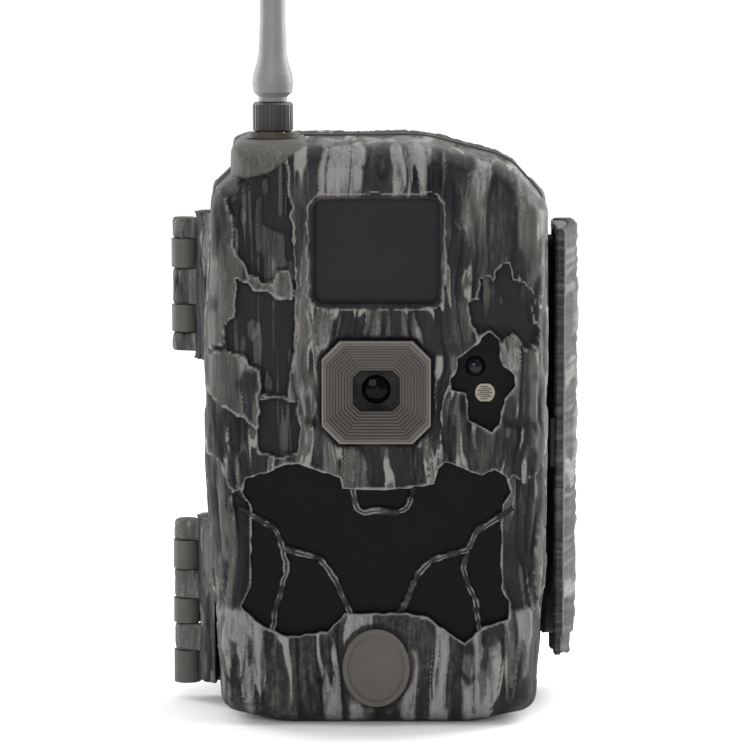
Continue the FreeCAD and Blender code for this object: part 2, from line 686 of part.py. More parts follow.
def bay_divider():
    plate = soft_box(-36.0, 36.0, DIVIDER_Y[0], DIVIDER_Y[1], 6.0, 134.0, 6.0)
    holes = []
    for x, z in DIVIDER_SCREWS:
        holes += [rod_y(x, z, 1.4, 0, 4), rod_y(x, z, 2.4, 0, DIVIDER_Y[0] + 0.6)]
    for x, z in CONTACT_PINS:
        holes.append(rod_y(x, z, 1.6, 0, 4))
    ribs = [box(-24.0, 24.0, DIVIDER_Y[0] - 0.5, DIVIDER_Y[0], z, z + 1.2) for z in (30.0, 34.0, 38.0)]
    return cut(fuse([plate] + ribs), holes)


def divider_screws():
    return countersunk_screws(DIVIDER_SCREWS, DIVIDER_Y[0] - 0.6, 1, 11.0)


def panel_screws():
    return countersunk_screws(PANEL_SCREWS, PANEL_Y[1] - 0.05, -1, 10.0)


def board_screws():
    return countersunk_screws(BOARD_SCREWS, MAIN_BOARD_Y[1] + 1.25, -1, 9.0)


def bracket_screws():
    return countersunk_screws(BRACKET_SCREWS, 29.7, -1, 8.0)


def tripod_insert():
    body = rod_y(0, TRIPOD_Z, 4.5, REAR_INSIDE + 0.1, REAR_FACE)
    bore = rod_y(0, TRIPOD_Z, TRIPOD_R, REAR_INSIDE + 0.9, REAR_FACE + 1)
    return body.cut(bore)


def tree_bracket():
    z0, z1 = BRACKET_Z
    plate = soft_box(-BRACKET_HALF_X, BRACKET_HALF_X, REAR_FACE + 0.1, 28.4, z0, z1, 5.0)
    parts = [plate]
    tools = []
    for side in (-1, 1):
        near, far = sorted((side * (BRACKET_HALF_X - 5.0), side * (BRACKET_HALF_X - 1.0)))
        parts.append(box(near, far, 28.0, HALF_DEPTH, z0 + 3, z1 - 3))
        tools.append(box(near - 1, far + 1, 28.6, 33.8, STRAP_Z[0], STRAP_Z[1]))
        tools.append(rod_x(CABLE_CENTRE[0], CABLE_CENTRE[1], CABLE_R, near - 1, far + 1))
        tooth_count = 10
        pitch = (z1 - z0 - 6) / tooth_count
        for i in range(tooth_count):
            base = z0 + 3 + i * pitch
            notch = Part.makePolygon([
                FreeCAD.Vector(near - 1, HALF_DEPTH - 1.9, base + pitch / 2),
                FreeCAD.Vector(near - 1, HALF_DEPTH + 0.1, base + 0.6),
                FreeCAD.Vector(near - 1, HALF_DEPTH + 0.1, base + pitch - 0.6),
                FreeCAD.Vector(near - 1, HALF_DEPTH - 1.9, base + pitch / 2),
            ])
            tools.append(Part.Face(notch).extrude(FreeCAD.Vector(far - near + 2, 0, 0)))
    for x, z in BRACKET_SCREWS:
        tools += [rod_y(x, z, 1.4, 25, 30)]
    return cut(fuse(parts), tools)


def drawer_tray():
    top = DRAWER_TOP
    back = box(-DRAWER_HALF_X, DRAWER_HALF_X, DRAWER_Y[1] - 1.2, DRAWER_Y[1], 2.6, top)
    sides = []
    for side in (-1, 1):
        edges = sorted((side * DRAWER_HALF_X, side * (DRAWER_HALF_X - 1.3)))
        sides.append(box(edges[0], edges[1], DRAWER_Y[0], DRAWER_Y[1], 2.6, top))
    floor = box(-DRAWER_HALF_X, DRAWER_HALF_X, DRAWER_Y[0], DRAWER_Y[1], 2.6, 3.8)
    roof = box(-DRAWER_HALF_X, DRAWER_HALF_X, DRAWER_Y[0], DRAWER_Y[1], top - 1.2, top)
    cap = box(-DRAWER_HALF_X, DRAWER_HALF_X, DRAWER_Y[0], DRAWER_Y[1], 0, 2.7)
    cap = cap.common(case_solid(REAR_SECTIONS))
    cradles = []
    for i in range(CELL_COUNT + 1):
        z = 4.4 + CELL_PITCH * i - 0.35
        cradles.append(box(-DRAWER_HALF_X, DRAWER_HALF_X, CELL_Y + 4.6, DRAWER_Y[1], z - 0.4, z + 0.4))
    scoop = box(-9.0, 9.0, 9.0, 15.0, -1, 1.6)
    tray = fuse([back, floor, roof, cap] + sides + cradles)
    cells = [rod_x(CELL_Y, cell_height(i), CELL_R + 0.12, -26.6, 26.6) for i in range(CELL_COUNT)]
    return cut(tray, cells + [scoop, seal_groove()])


def cell_height(i):
    return 4.4 + CELL_PITCH * (i + 0.5) - 0.35


def seal_groove():
    """Space for the square rubber ring around the drawer's cap."""
    x = DRAWER_HALF_X
    outside = box(-x - 0.1, x + 0.1, DRAWER_Y[0] - 0.1, DRAWER_Y[1] + 0.1, 1.2, 2.3)
    core = box(-x + 1.0, x - 1.0, DRAWER_Y[0] + 1.0, DRAWER_Y[1] - 1.0, 0, 4)
    return outside.cut(core)


def drawer_seal():
    x = DRAWER_HALF_X
    trimmed = box(-x - 0.15, x + 0.15, DRAWER_Y[0] - 0.1, DRAWER_Y[1] + 0.1, 1.25, 2.25)
    core = box(-x + 0.95, x - 0.95, DRAWER_Y[0] + 0.95, DRAWER_Y[1] - 0.95, 0, 4)
    return trimmed.cut(core)


def battery_cells():
    cells = []
    for i in range(CELL_COUNT):
        side = 1 if i % 2 else -1
        start = -CELL_LENGTH / 2 + side * 0.7
        z = cell_height(i)
        body = rod_x(CELL_Y, z, CELL_R, start, start + CELL_LENGTH)
        if side > 0:
            nub = rod_x(CELL_Y, z, 2.6, start + CELL_LENGTH, start + CELL_LENGTH + 1.0)
        else:
            nub = rod_x(CELL_Y, z, 2.6, start - 1.0, start)
        cells.append(fuse([body, nub]))
    return Part.makeCompound(cells)


def cell_springs():
    """Flat wire coils between each cell and its plate, drawn compressed."""
    helix = Part.makeHelix(0.62, 1.86, 3.4)
    corners = [(3.2, -0.2), (3.6, -0.2), (3.6, 0.2), (3.2, 0.2), (3.2, -0.2)]
    section = Part.makePolygon([FreeCAD.Vector(r, 0, z) for r, z in corners])
    coil = Part.Wire(helix.Edges).makePipeShell([section], True, True)
    coil.rotate(FreeCAD.Vector(0, 0, 0), FreeCAD.Vector(0, 1, 0), 90)
    springs = []
    for i in range(CELL_COUNT):
        spring = coil.copy()
        spring.translate(FreeCAD.Vector(-26.1 if i % 2 else 24.24, CELL_Y, cell_height(i)))
        springs.append(spring)
    return Part.makeCompound(springs)


def cell_contacts():
    plates = []
    for side in (-1, 1):
        edges = sorted((side * 26.9, side * 26.6))
        for i in range(CELL_COUNT):
            z = cell_height(i)
            plates.append(box(edges[0], edges[1], CELL_Y - 5.5, CELL_Y + 5.5, z - 5.5, z + 5.5))
    strips = [box(x - 3, x + 3, 8.0, 16.0, DRAWER_TOP, DRAWER_TOP + 0.4) for x in (-14, 14)]
    return Part.makeCompound(plates + strips)


def bay_contacts():
    leaves = []
    for x in (-14, 14):
        spring = box(x - 2.5, x + 2.5, 9.0, 9.6, DRAWER_TOP + 0.6, 131.1)
        foot = box(x - 2.5, x + 2.5, 9.0, 15.0, 130.6, 131.1)
        touch = box(x - 2.5, x + 2.5, 9.0, 14.0, DRAWER_TOP + 0.6, DRAWER_TOP + 1.1)
        leaves.append(fuse([spring, foot, touch]))
    return Part.makeCompound(leaves)


def dc_jack():
    body = rod_z(JACK_X, JACK_Y, 3.3, 8.2, 20.0)
    bore = rod_z(JACK_X, JACK_Y, 2.7, 5, 18.5)
    pin = rod_z(JACK_X, JACK_Y, 0.9, 14.2, 19)
    return fuse([body.cut(bore), pin])


def jack_plug():
    head = rod_z(JACK_X, JACK_Y, 3.1, 2.4, 8.1)
    stem = rod_z(JACK_X, JACK_Y, 2.6, 8.1, 13.0)
    tab = box(JACK_X - 0.7, JACK_X + 0.7, JACK_Y - 2.4, JACK_Y + 2.4, 1.0, 2.4)
    return fuse([head, stem, tab])


def latch_lever():
    z0, z1 = LATCH_Z
    outline = [
        (44.0, -21.0), (44.6, -21.9), (46.3, -21.6), (48.7, -14.0), (50.6, -6.0), (HALF_WIDTH, 2.0),
        (HALF_WIDTH, 9.5), (50.9, 14.0), (49.4, 16.2), (47.4, 16.0), (45.4, 15.2), (44.6, 13.6), (44.5, 11.9),
        (45.6, 10.4), (47.6, 9.4), (47.9, 2.0), (47.1, -8.0), (45.4, -16.5), (44.2, -18.6),
    ]
    lever = plan_prism(outline, z0, z1)
    nose = box(42.8, 44.6, -21.0, -18.4, 62.0, 74.0)
    lever = fuse([lever, nose])
    tools = [rod_z(LATCH_X, LATCH_Y, PIN_R + 0.06, z0 + 2.0, z1 - 2.0)]
    for e0, e1 in LATCH_EARS:
        tools.append(rod_z(LATCH_X, LATCH_Y, 3.0, e0 - 0.2, e1 + 0.2))
        tools.append(box(43.0, LATCH_X, LATCH_Y - 3.0, LATCH_Y + 4.0, e0 - 0.2, e1 + 0.2))
        tools.append(box(43.0, 52.0, LATCH_Y + 1.0, LATCH_Y + 4.0, e0 - 0.2, e1 + 0.2))
        tools.append(box(43.0, 48.2, 7.0, LATCH_Y, e0 - 0.2, e1 + 0.2))
    return cut(lever, tools)


def latch_pin():
    return rod_z(LATCH_X, LATCH_Y, PIN_R, LATCH_Z[0] + 2.4, LATCH_Z[1] - 2.4)


def sensor_window():
    holes = [(LED_CENTRE[0], LED_CENTRE[1], 2.5), (LIGHT_SENSOR_CENTRE[0], LIGHT_SENSOR_CENTRE[1], 2.5)]
    return window_pane(17.2, 35.0, 71.4, 98.6, -33.9, -32.7, holes)


def status_led():
    x, z = LED_CENTRE
    return fuse([rod_y(x, z, 2.35, -33.6, -29.0), Part.makeSphere(2.35, FreeCAD.Vector(x, -33.6, z))])


def light_sensor():
    x, z = LIGHT_SENSOR_CENTRE
    disc = rod_y(x, z, 2.4, -34.1, -31.6)
    flats = box(x - 4, x + 4, -36, -30, z - 2.15, z + 2.15)
    return disc.common(flats)


NODES = {
    "front_shell": front_shell,
    "badge": badge,
    "lens_bezel": lens_bezel,
    "lens_barrel": lens_barrel,
    "lens_glass": lens_glass,
    "image_sensor": image_sensor,
    "ir_cut_housing": ir_cut_housing,
    "ir_cut_filter": ir_cut_filter,
    "pir_window": lambda: window_pane(-17.2, 17.2, 103.2, 130.4, -33.9, -32.9),
    "pir_housing": pir_housing,
    "pir_sensor": pir_sensor,
    "ir_window": lambda: window_pane(-33.7, 33.7, 18.4, 67.2, -33.9, -32.6),
    "ir_led_board": ir_led_board,
    "ir_leds": ir_leds,
    "board_spacers": board_spacers,
    "sensor_window": sensor_window,
    "status_led": status_led,
    "light_sensor": light_sensor,
    "main_board": main_board,
    "board_screws": board_screws,
    "display": display,
    "display_cover": lambda: display_window(-0.1, -6.9, -5.6),
    "inner_panel": inner_panel,
    "panel_screws": panel_screws,
    "panel_switches": panel_switches,
    "power_knob": power_knob,
    "card_readers": card_readers,
    "sd_card": sd_card,
    "sim_card": sim_card,
    "speaker": speaker,
    "contact_pads": contact_pads,
    "antenna_socket": antenna_socket,
    "antenna_connector": antenna_connector,
    "antenna_nut": antenna_nut,
    "antenna_whip": antenna_whip,
    "rear_shell": rear_shell,
    "hinge_pins": hinge_pins,
    "case_gasket": case_gasket,
    "bay_divider": bay_divider,
    "divider_screws": divider_screws,
    "bay_contacts": bay_contacts,
    "power_pins": power_pins,
    "tripod_insert": tripod_insert,
    "tree_bracket": tree_bracket,
    "bracket_screws": bracket_screws,
    "drawer_tray": drawer_tray,
    "drawer_seal": drawer_seal,
    "battery_cells": battery_cells,
    "cell_springs": cell_springs,
    "cell_contacts": cell_contacts,
    "dc_jack": dc_jack,
    "jack_plug": jack_plug,
    "latch_lever": latch_lever,
    "latch_pin": latch_pin,
}

os.makedirs("parts", exist_ok=True)
for node, build in NODES.items():
    shape = build()
    print(node, "solids", len(shape.Solids), "valid", shape.isValid())
    shape.exportStep("parts/" + node + ".step")
for name in BUTTONS:
    shape = button(name)
    print(name, "solids", len(shape.Solids), "valid", shape.isValid())
    shape.exportStep("parts/" + name + ".step")
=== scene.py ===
import math
import bmesh
import bpy
import numpy as np
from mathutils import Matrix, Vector
from mathutils.geometry import delaunay_2d_cdt
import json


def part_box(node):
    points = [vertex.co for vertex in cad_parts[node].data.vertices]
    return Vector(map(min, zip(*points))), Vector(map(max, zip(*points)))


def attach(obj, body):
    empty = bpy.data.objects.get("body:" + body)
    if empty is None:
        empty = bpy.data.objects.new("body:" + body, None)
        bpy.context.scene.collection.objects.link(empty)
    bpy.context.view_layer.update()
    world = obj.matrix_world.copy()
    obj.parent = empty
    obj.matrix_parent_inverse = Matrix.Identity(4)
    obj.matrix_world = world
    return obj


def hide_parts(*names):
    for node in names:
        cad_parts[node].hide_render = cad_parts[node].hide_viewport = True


# Trail camera. Lengths are in millimetres until a mesh is made; +X is right, +Z up, the front faces -Y.
MM = 0.001

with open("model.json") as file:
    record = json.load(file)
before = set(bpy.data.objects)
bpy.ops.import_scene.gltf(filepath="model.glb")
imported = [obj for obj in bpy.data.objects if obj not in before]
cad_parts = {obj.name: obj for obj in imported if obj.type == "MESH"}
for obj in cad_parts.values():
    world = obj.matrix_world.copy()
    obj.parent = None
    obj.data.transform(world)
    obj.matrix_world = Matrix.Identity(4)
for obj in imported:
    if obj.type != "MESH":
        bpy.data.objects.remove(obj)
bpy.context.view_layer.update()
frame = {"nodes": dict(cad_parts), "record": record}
nodes = frame["nodes"]

# ---- the case, as the CAD model has it

CASE_OUTLINE = [
    (24.0, -1.0, 30.0), (40.2, 2.6, 6.0), (42.3, 40.0, 60.0), (42.3, 128.0, 8.0), (33.0, 138.0, 14.0),
    (12.0, 143.6, 30.0), (-35.4, 143.2, 3.0), (-35.6, 135.4, 2.0), (-40.6, 130.6, 5.0),
    (-42.3, 100.0, 40.0), (-42.3, 60.0, 40.0), (-38.8, 2.6, 6.0), (-24.0, -1.0, 30.0),
]
FRONT_FACE = -36.5
FRONT_RIM = -2.2
WALL_BACK = -33.9
REAR_RIM = -1.8
REAR_FACE = 26.0
FACE_INSET = 5.4
SIDE_INSET = 0.5
ROUND_DEPTH = 9.0
ROUND_STEPS = 14

PIR_CENTRE = (0.0, 116.8)
PIR_HALF = (15.0, 12.6)
LENS_CENTRE = (0.0, 82.6)
BEZEL_HALF = (13.45, 12.75)
BEZEL_CHAMFER = 4.4
BADGE_CENTRE = (0.0, 14.6)
BADGE_HALF = (8.2, 9.6)

SENSOR_OUTLINE = [
    (23.1, 93.0), (25.8, 96.2), (27.5, 97.4), (29.6, 95.4), (30.2, 91.0), (30.6, 89.2), (33.8, 86.6),
    (34.0, 84.2), (31.2, 80.6), (29.8, 74.3), (28.0, 72.6), (26.2, 73.8), (22.6, 75.9), (22.0, 82.2),
    (18.2, 83.2), (18.2, 85.6), (19.8, 88.8), (19.8, 90.8),
]
INFRARED_OUTLINE = [
    (-32.8, 58.2), (-31.6, 61.4), (-26.4, 62.8), (-22.6, 64.9), (-18.6, 64.9), (-8.8, 61.6), (-8.2, 58.8),
    (4.2, 58.7), (14.1, 60.0), (15.2, 64.0), (17.0, 65.3), (25.8, 62.0), (28.8, 63.6), (31.9, 61.6),
    (32.9, 58.0), (30.6, 54.6), (30.6, 34.0), (32.6, 30.6), (32.6, 26.6), (26.0, 24.2), (21.6, 20.4),
    (12.6, 26.8), (7.8, 27.8), (-7.8, 27.8), (-12.2, 23.2), (-21.8, 22.2), (-28.0, 24.7), (-33.0, 29.6),
    (-30.6, 34.4), (-30.6, 54.6),
]
TWIGS = [
    [(-33.5, 54.0), (-24.8, 48.8), (-22.8, 43.8)],
    [(-22.8, 43.8), (-13.6, 41.4), (-10.8, 37.6), (-5.6, 26.4)],
    [(-22.8, 43.8), (-21.8, 38.8), (-24.6, 29.2), (-25.6, 22.0)],
    [(33.5, 54.0), (24.4, 48.0), (22.4, 43.6)],
    [(22.4, 43.6), (13.4, 41.0), (10.2, 37.4), (5.0, 26.0)],
    [(22.4, 43.6), (21.2, 38.8), (24.2, 31.0), (25.6, 21.6)],
    [(-6.4, 61.5), (-4.8, 53.8), (-3.2, 52.6), (0.0, 53.4), (4.2, 52.6), (7.7, 53.8), (9.8, 62.0)],
]
TWIG_HALF = 0.78

# Bark plates that stand above their surroundings, and pockets worn down between them, in X, Z
UPPER_PLATE = [
    (-45.0, 134.0), (-37.0, 131.4), (-35.8, 128.0), (-34.3, 122.9), (-34.8, 118.3), (-31.9, 114.1),
    (-30.7, 111.2), (-28.0, 111.0), (-27.5, 109.2), (-25.1, 109.5), (-24.1, 111.7), (-20.6, 112.9),
    (-20.2, 105.1), (-24.6, 105.3), (-26.8, 107.1), (-30.2, 107.3), (-31.4, 109.2), (-33.6, 110.0),
    (-33.8, 101.9), (-36.3, 99.7), (-37.3, 93.9), (-45.0, 90.0),
]
FLAKE = [
    (-37.3, 93.6), (-34.8, 92.1), (-31.9, 91.6), (-30.7, 89.2), (-28.0, 88.2), (-28.7, 73.5), (-33.0, 76.4),
    (-36.0, 78.0), (-40.2, 81.3), (-43.0, 86.0), (-43.0, 91.0),
]
TOP_POCKET = [
    (-39.0, 131.4), (-37.8, 122.0), (-37.5, 110.0), (-22.0, 107.0), (-19.8, 108.0), (-20.4, 121.0),
    (-21.4, 133.0), (-21.8, 138.6), (-34.0, 138.0),
]
LEFT_POCKET = [
    (-37.4, 99.0), (-36.0, 92.0), (-29.0, 88.6), (-28.3, 82.4), (-21.5, 81.4), (-20.2, 92.0),
    (-19.8, 105.6), (-25.0, 108.0), (-34.5, 110.4),
]
LOW_POCKET = [
    (-28.7, 80.4), (-24.0, 81.0), (-19.5, 80.0), (-18.9, 74.0), (-19.5, 67.6), (-24.2, 66.6), (-28.7, 68.0),
]
RIGHT_POCKET = [
    (22.6, 104.1), (25.1, 104.9), (25.3, 110.0), (27.3, 110.5), (28.5, 109.0), (29.5, 112.2), (31.9, 113.6),
    (32.6, 109.7), (35.3, 109.0), (37.7, 107.3), (38.2, 99.5), (39.9, 98.5), (39.7, 94.6), (36.5, 93.4),
    (35.3, 95.1), (32.9, 97.5), (30.4, 95.1), (27.6, 97.9), (25.0, 96.8), (23.0, 99.0),
]
POCKETS = [TOP_POCKET, LEFT_POCKET, LOW_POCKET, RIGHT_POCKET]
# plain block that carries the antenna
ANTENNA_BLOCK = [
    (-38.0, 146.0), (-38.0, 134.8), (-31.0, 134.6), (-26.0, 135.9), (-24.3, 136.9), (-22.0, 138.8),
    (-19.9, 140.4), (-17.6, 142.0), (-17.6, 146.0),
]
LEFT_STRIP = [
    (-50.0, 66.9), (-39.6, 66.5), (-37.2, 62.4), (-35.0, 57.0), (-32.8, 58.6), (-30.0, 54.6), (-30.0, 34.4),
    (-32.6, 29.6), (-37.2, 28.1), (-50.0, 28.4),
]
RIGHT_STRIP = [
    (50.0, 64.0), (40.0, 62.0), (36.0, 60.0), (33.4, 61.6), (31.6, 58.0), (30.0, 54.6), (30.0, 34.0),
    (32.8, 27.0), (38.9, 28.1), (50.0, 28.4),
]


# ---- noise and distances


def lattice(cell, seed):
    """A repeatable random number from -1 to 1 for each whole-number lattice point."""
    mixed = (cell[:, 0] * 374761393 + cell[:, 1] * 668265263 + cell[:, 2] * 1442695041 + seed * 1013904223)
    mixed = mixed & 0xFFFFFFFF
    mixed = ((mixed ^ (mixed >> 13)) * 1274126177) & 0xFFFFFFFF
    mixed = ((mixed ^ (mixed >> 16)) * 2246822519) & 0xFFFFFFFF
    mixed = mixed ^ (mixed >> 15)
    return mixed / 2147483648.0 - 1.0


def noise(x, y, z, seed):
    """Smooth random field, about -1 to 1, with one bump per unit."""
    points = np.stack(np.broadcast_arrays(x, y, z), axis=1).astype(float)
    cell = np.floor(points).astype(np.int64)
    part = points - cell
    ease = part * part * part * (part * (part * 6 - 15) + 10)
    total = np.zeros(len(points))
    for corner in range(8):
        step = np.array([corner & 1, (corner >> 1) & 1, (corner >> 2) & 1])
        weight = np.prod(np.where(step == 1, ease, 1 - ease), axis=1)
        total += weight * lattice(cell + step, seed)
    return total


def smooth(low, high, value):
    """0 below low, 1 above high, with an eased rise between."""
    t = np.clip((value - low) / (high - low), 0.0, 1.0)
    return t * t * (3 - 2 * t)


def blend(first, second, share):
    return first + (second - first) * share


def ridge_line(distance, width):
    """1 on a line where the distance is nought, falling to 0 either side."""
    return smooth(width, 0.3 * width, np.abs(distance))


def polygon_distance(x, z, outline):
    """Signed distance to a closed outline, negative inside it."""
    outline = [tuple(corner) for corner in outline]
    nearest = np.full(len(x), 1e9)
    inside = np.zeros(len(x), bool)
    for (x0, z0), (x1, z1) in zip(outline, outline[1:] + outline[:1]):
        dx = x1 - x0
        dz = z1 - z0
        t = np.clip(((x - x0) * dx + (z - z0) * dz) / (dx * dx + dz * dz), 0, 1)
        nearest = np.minimum(nearest, np.hypot(x - x0 - t * dx, z - z0 - t * dz))
        if z0 != z1:
            crosses = ((z0 > z) != (z1 > z)) & (x < x0 + (z - z0) / dz * dx)
            inside ^= crosses
    return np.where(inside, -nearest, nearest)


def ragged(x, z, size, seed):
    """Small sideways jitter that makes torn edges uneven."""
    return size * noise(x / 1.9, 0.0, z / 1.9, seed) + 0.3 * size * noise(x / 0.9, 3.0, z / 0.9, seed + 1)


# ---- bark relief


def grain(across, along, depth, seed):
    """Long ridges split by winding furrows: heights from about -1 to 0.5, and how rubbed their edges are."""
    sway = 1.3 * noise(across / 8.0, along / 15.0, depth / 9.0, seed)
    sway = sway + 0.5 * noise(across / 2.6, along / 6.0, 0.0, seed + 1)
    u = across + sway
    broad = noise(u / 2.5, along / 19.0, depth / 9.0, seed + 2)
    middle = noise(u / 1.25, along / 9.0, depth / 6.0, seed + 3)
    fine = noise(u / 0.62, along / 3.6, depth / 3.0, seed + 4)
    plates = broad + 0.55 * middle + 0.12 * fine
    crack = np.abs(noise(u / 3.6, along / 30.0, depth / 9.0, seed + 5))
    furrow = smooth(0.17, 0.03, crack)
    split = smooth(0.13, 0.02, np.abs(noise(u / 1.5, along / 13.0, depth / 6.0, seed + 7)))
    split = split * smooth(-0.2, 0.3, noise(u / 5.0, along / 10.0, depth / 6.0, seed + 8))
    steps = 0.60 * smooth(-0.10, 0.03, plates) + 0.38 * smooth(0.30, 0.42, plates)
    height = steps - 0.55 * furrow - 0.45 * split + 0.18 * middle + 0.16 * fine - 0.42
    broken = smooth(-0.35, 0.30, noise(u / 2.0, along / 7.0, depth / 5.0, seed + 6))
    rim = np.maximum(ridge_line(plates - 0.10, 0.20), 0.7 * ridge_line(plates - 0.50, 0.16))
    rim = np.maximum(rim, 0.8 * ridge_line(crack - 0.21, 0.07) * smooth(-0.03, 0.05, plates))
    return height, rim * broken * (1 - furrow) * (1 - split)


def front_relief(x, z):
    """For each place on the front: height above the smooth face, lightness, paint level and rubbed edges."""
    shallow = smooth(112.0, 126.0, z + 4.0 * noise(x / 9.0, 0.0, 0.0, 9))
    narrow, narrow_rim = grain(x, z, 0.0, 11)
    broad, broad_rim = grain(x * 0.8, z * 0.8, 3.0, 17)
    height = blend(0.85 * narrow, 0.95 * broad, shallow)
    rim = blend(narrow_rim, 0.8 * broad_rim, shallow)
    streaks = 0.75 * smooth(126.0, 138.0, z) * smooth(-0.3, 0.3, broad)
    tone = 0.30 * noise(x / 7.0, 0.0, z / 13.0, 40) + streaks
    paint = height.copy()
    jitter = ragged(x, z, 0.45, 60)
    # pockets worn between the plates, with narrow upright ribs on their floors
    ribs = smooth(-0.05, 0.20, noise(x / 0.52, z / 22.0, 0.0, 71))
    ribs = ribs * smooth(-0.30, 0.30, noise(x / 4.5, z / 10.0, 0.0, 74))
    chips = smooth(0.55, 0.60, noise(x / 1.9, z / 7.0, 0.0, 73))
    for outline in POCKETS:
        edge = polygon_distance(x, z, outline) + jitter
        inside = smooth(0.20, -0.20, edge)
        height = blend(height, -1.75 + 0.35 * ribs + 0.55 * chips, inside)
        # paint darkened along the foot of each pocket's walls, fading toward the middle: painted shade
        pocket_wall_shade = 0.35 * smooth(-1.6, -0.3, edge)
        paint = blend(paint, -0.80 + 0.85 * ribs + 0.65 * chips - pocket_wall_shade, inside)
        tone = blend(tone, 0.05, inside)
        rim = np.maximum(rim * (1 - inside), 0.75 * ridge_line(edge - 0.42, 0.36))
    for outline, lift, tint in ((UPPER_PLATE, 0.35, 0.10), (FLAKE, 0.60, 0.12)):
        edge = polygon_distance(x, z, outline) + jitter
        inside = smooth(0.20, -0.20, edge)
        wood, wood_rim = grain(x * 0.7, z * 0.7, 5.0, 23)
        plate = lift + 0.50 * wood + 0.30 * smooth(-1.6, 0.0, edge)
        worn_middle = 0.9 * smooth(0.05, 0.30, noise(x / 2.6, z / 6.5, 0.0, 77)) * smooth(-0.7, -1.7, edge)
        height = blend(height, plate, inside)
        paint = blend(paint, plate - lift + 0.22 - worn_middle, inside)
        tone = blend(tone, tint, inside)
        rim = blend(rim, np.maximum(0.35 * wood_rim, 0.9 * ridge_line(edge + 0.36, 0.34)), inside)
        # a dark band just outside each plate's edge: painted shade where the raised plate drops to the bark
        # below
        paint = paint - 0.5 * ridge_line(edge - 0.45, 0.5)
    # the two strips beside the lower window lie under the torn edge of the upper bark
    lean = 0.20 * (z - 28.0) * np.sign(x) * smooth(60, 28, z)
    strip_grain, strip_rim = grain((x + lean) * 0.9, z * 0.5, 9.0, 31)
    for outline in (LEFT_STRIP, RIGHT_STRIP):
        edge = polygon_distance(x, z, outline) + 0.8 * jitter
        inside = smooth(0.3, -0.3, edge)
        height = blend(height, -1.30 + 0.8 * strip_grain, inside)
        paint = blend(paint, strip_grain - np.where(x < 0, 0.30, 0.05), inside)
        rim = blend(rim, 0.7 * strip_rim, inside)
        rim = np.maximum(rim, 0.7 * ridge_line(edge - 0.42, 0.36) * smooth(40.0, 50.0, z))
    lip = smooth(29.5, 28.3, z + jitter)
    wide, wide_rim = grain(x * 0.7, z * 0.6, 2.0, 47)
    pebbles = 0.22 * noise(x / 0.7, z / 0.9, 0.0, 48)
    height = blend(height, 0.95 * wide + 0.05 + 0.4 * pebbles, lip)
    paint = blend(paint, 0.95 * wide + 0.20 + pebbles - 0.15 * smooth(-5.0, 15.0, x), lip)
    tone = blend(tone, 0.60 * smooth(-0.2, 0.3, wide), lip)
    rim = blend(rim, wide_rim, lip)
    # narrow recesses round the windows, their paint darkened as painted shade, with rubbed bark at their
    # borders
    frame_edge = rounded_box_distance(x, z, PIR_CENTRE, PIR_HALF, 2.2)
    collar = smooth(1.3, 0.5, frame_edge + 0.8 * jitter)
    height = blend(height, -0.55 - 0.45 * smooth(0.6, 0.0, frame_edge), collar)
    # painted shade in the recess round the motion window
    paint = blend(paint, -0.55, 0.8 * collar)
    rim = np.maximum(rim * (1 - collar), 0.75 * ridge_line(frame_edge + 0.8 * jitter - 1.55, 0.38))
    bezel_edge = polygon_distance(x, z, octagon(LENS_CENTRE, BEZEL_HALF, BEZEL_CHAMFER))
    seat = smooth(1.3, 0.2, bezel_edge + 0.6 * jitter)
    height = blend(height, -0.75, seat)
    # painted shade in the seat round the lens bezel
    paint = blend(paint, -0.65, 0.85 * seat)
    rim = rim * (1 - seat)
    badge_edge = np.hypot((x - BADGE_CENTRE[0]) / BADGE_HALF[0], (z - BADGE_CENTRE[1]) / BADGE_HALF[1])
    mat = smooth(1.18, 1.04, badge_edge + 0.05 * jitter)
    height = blend(height, -0.45, mat)
    paint = blend(paint, -0.6, mat)
    rim = rim * (1 - mat)
    for outline in (SENSOR_OUTLINE, INFRARED_OUTLINE):
        edge = polygon_distance(x, z, outline)
        border = 0.7 * smooth(1.3, 0.4, edge + jitter)
        strips = smooth(56.0, 54.0, z) * smooth(27.0, 30.0, z) * smooth(28.5, 30.0, np.abs(x))
        height = blend(height, 0.45 - 1.3 * strips, border)
        paint = blend(paint, 0.12, 0.5 * border)
        rim = np.maximum(rim, 0.8 * smooth(0.60, 0.25, edge))
    edge = polygon_distance(x, z, ANTENNA_BLOCK)
    inside = smooth(0.25, -0.25, edge)
    height = blend(height, 0.55, inside)
    paint = blend(paint, 0.40, inside)
    tone = blend(tone, 0.0, inside)
    rim = rim * (1 - inside)
    return np.clip(height, -2.1, 1.25), np.clip(tone, -1.0, 1.0), paint, rim


def rounded_box_distance(x, z, centre, half, radius):
    dx = np.abs(x - centre[0]) - half[0] + radius
    dz = np.abs(z - centre[1]) - half[1] + radius
    outside = np.hypot(np.maximum(dx, 0), np.maximum(dz, 0))
    return outside + np.minimum(np.maximum(dx, dz), 0) - radius


def octagon(centre, half, chamfer):
    cx, cz = centre
    hx, hz = half
    return [
        (cx - hx + chamfer, cz - hz), (cx + hx - chamfer, cz - hz), (cx + hx, cz - hz + chamfer),
        (cx + hx, cz + hz - chamfer), (cx + hx - chamfer, cz + hz), (cx - hx + chamfer, cz + hz),
        (cx - hx, cz + hz - chamfer), (cx - hx, cz - hz + chamfer),
    ]


def rounded_box(centre, half, radius, steps=6):
    points = []
    for sx, sz, start in ((1, -1, -90), (1, 1, 0), (-1, 1, 90), (-1, -1, 180)):
        for i in range(steps + 1):
            angle = math.radians(start + 90 * i / steps)
            points.append((centre[0] + sx * (half[0] - radius) + radius * math.cos(angle),
                           centre[1] + sz * (half[1] - radius) + radius * math.sin(angle)))
    return points


# ---- outlines of the case


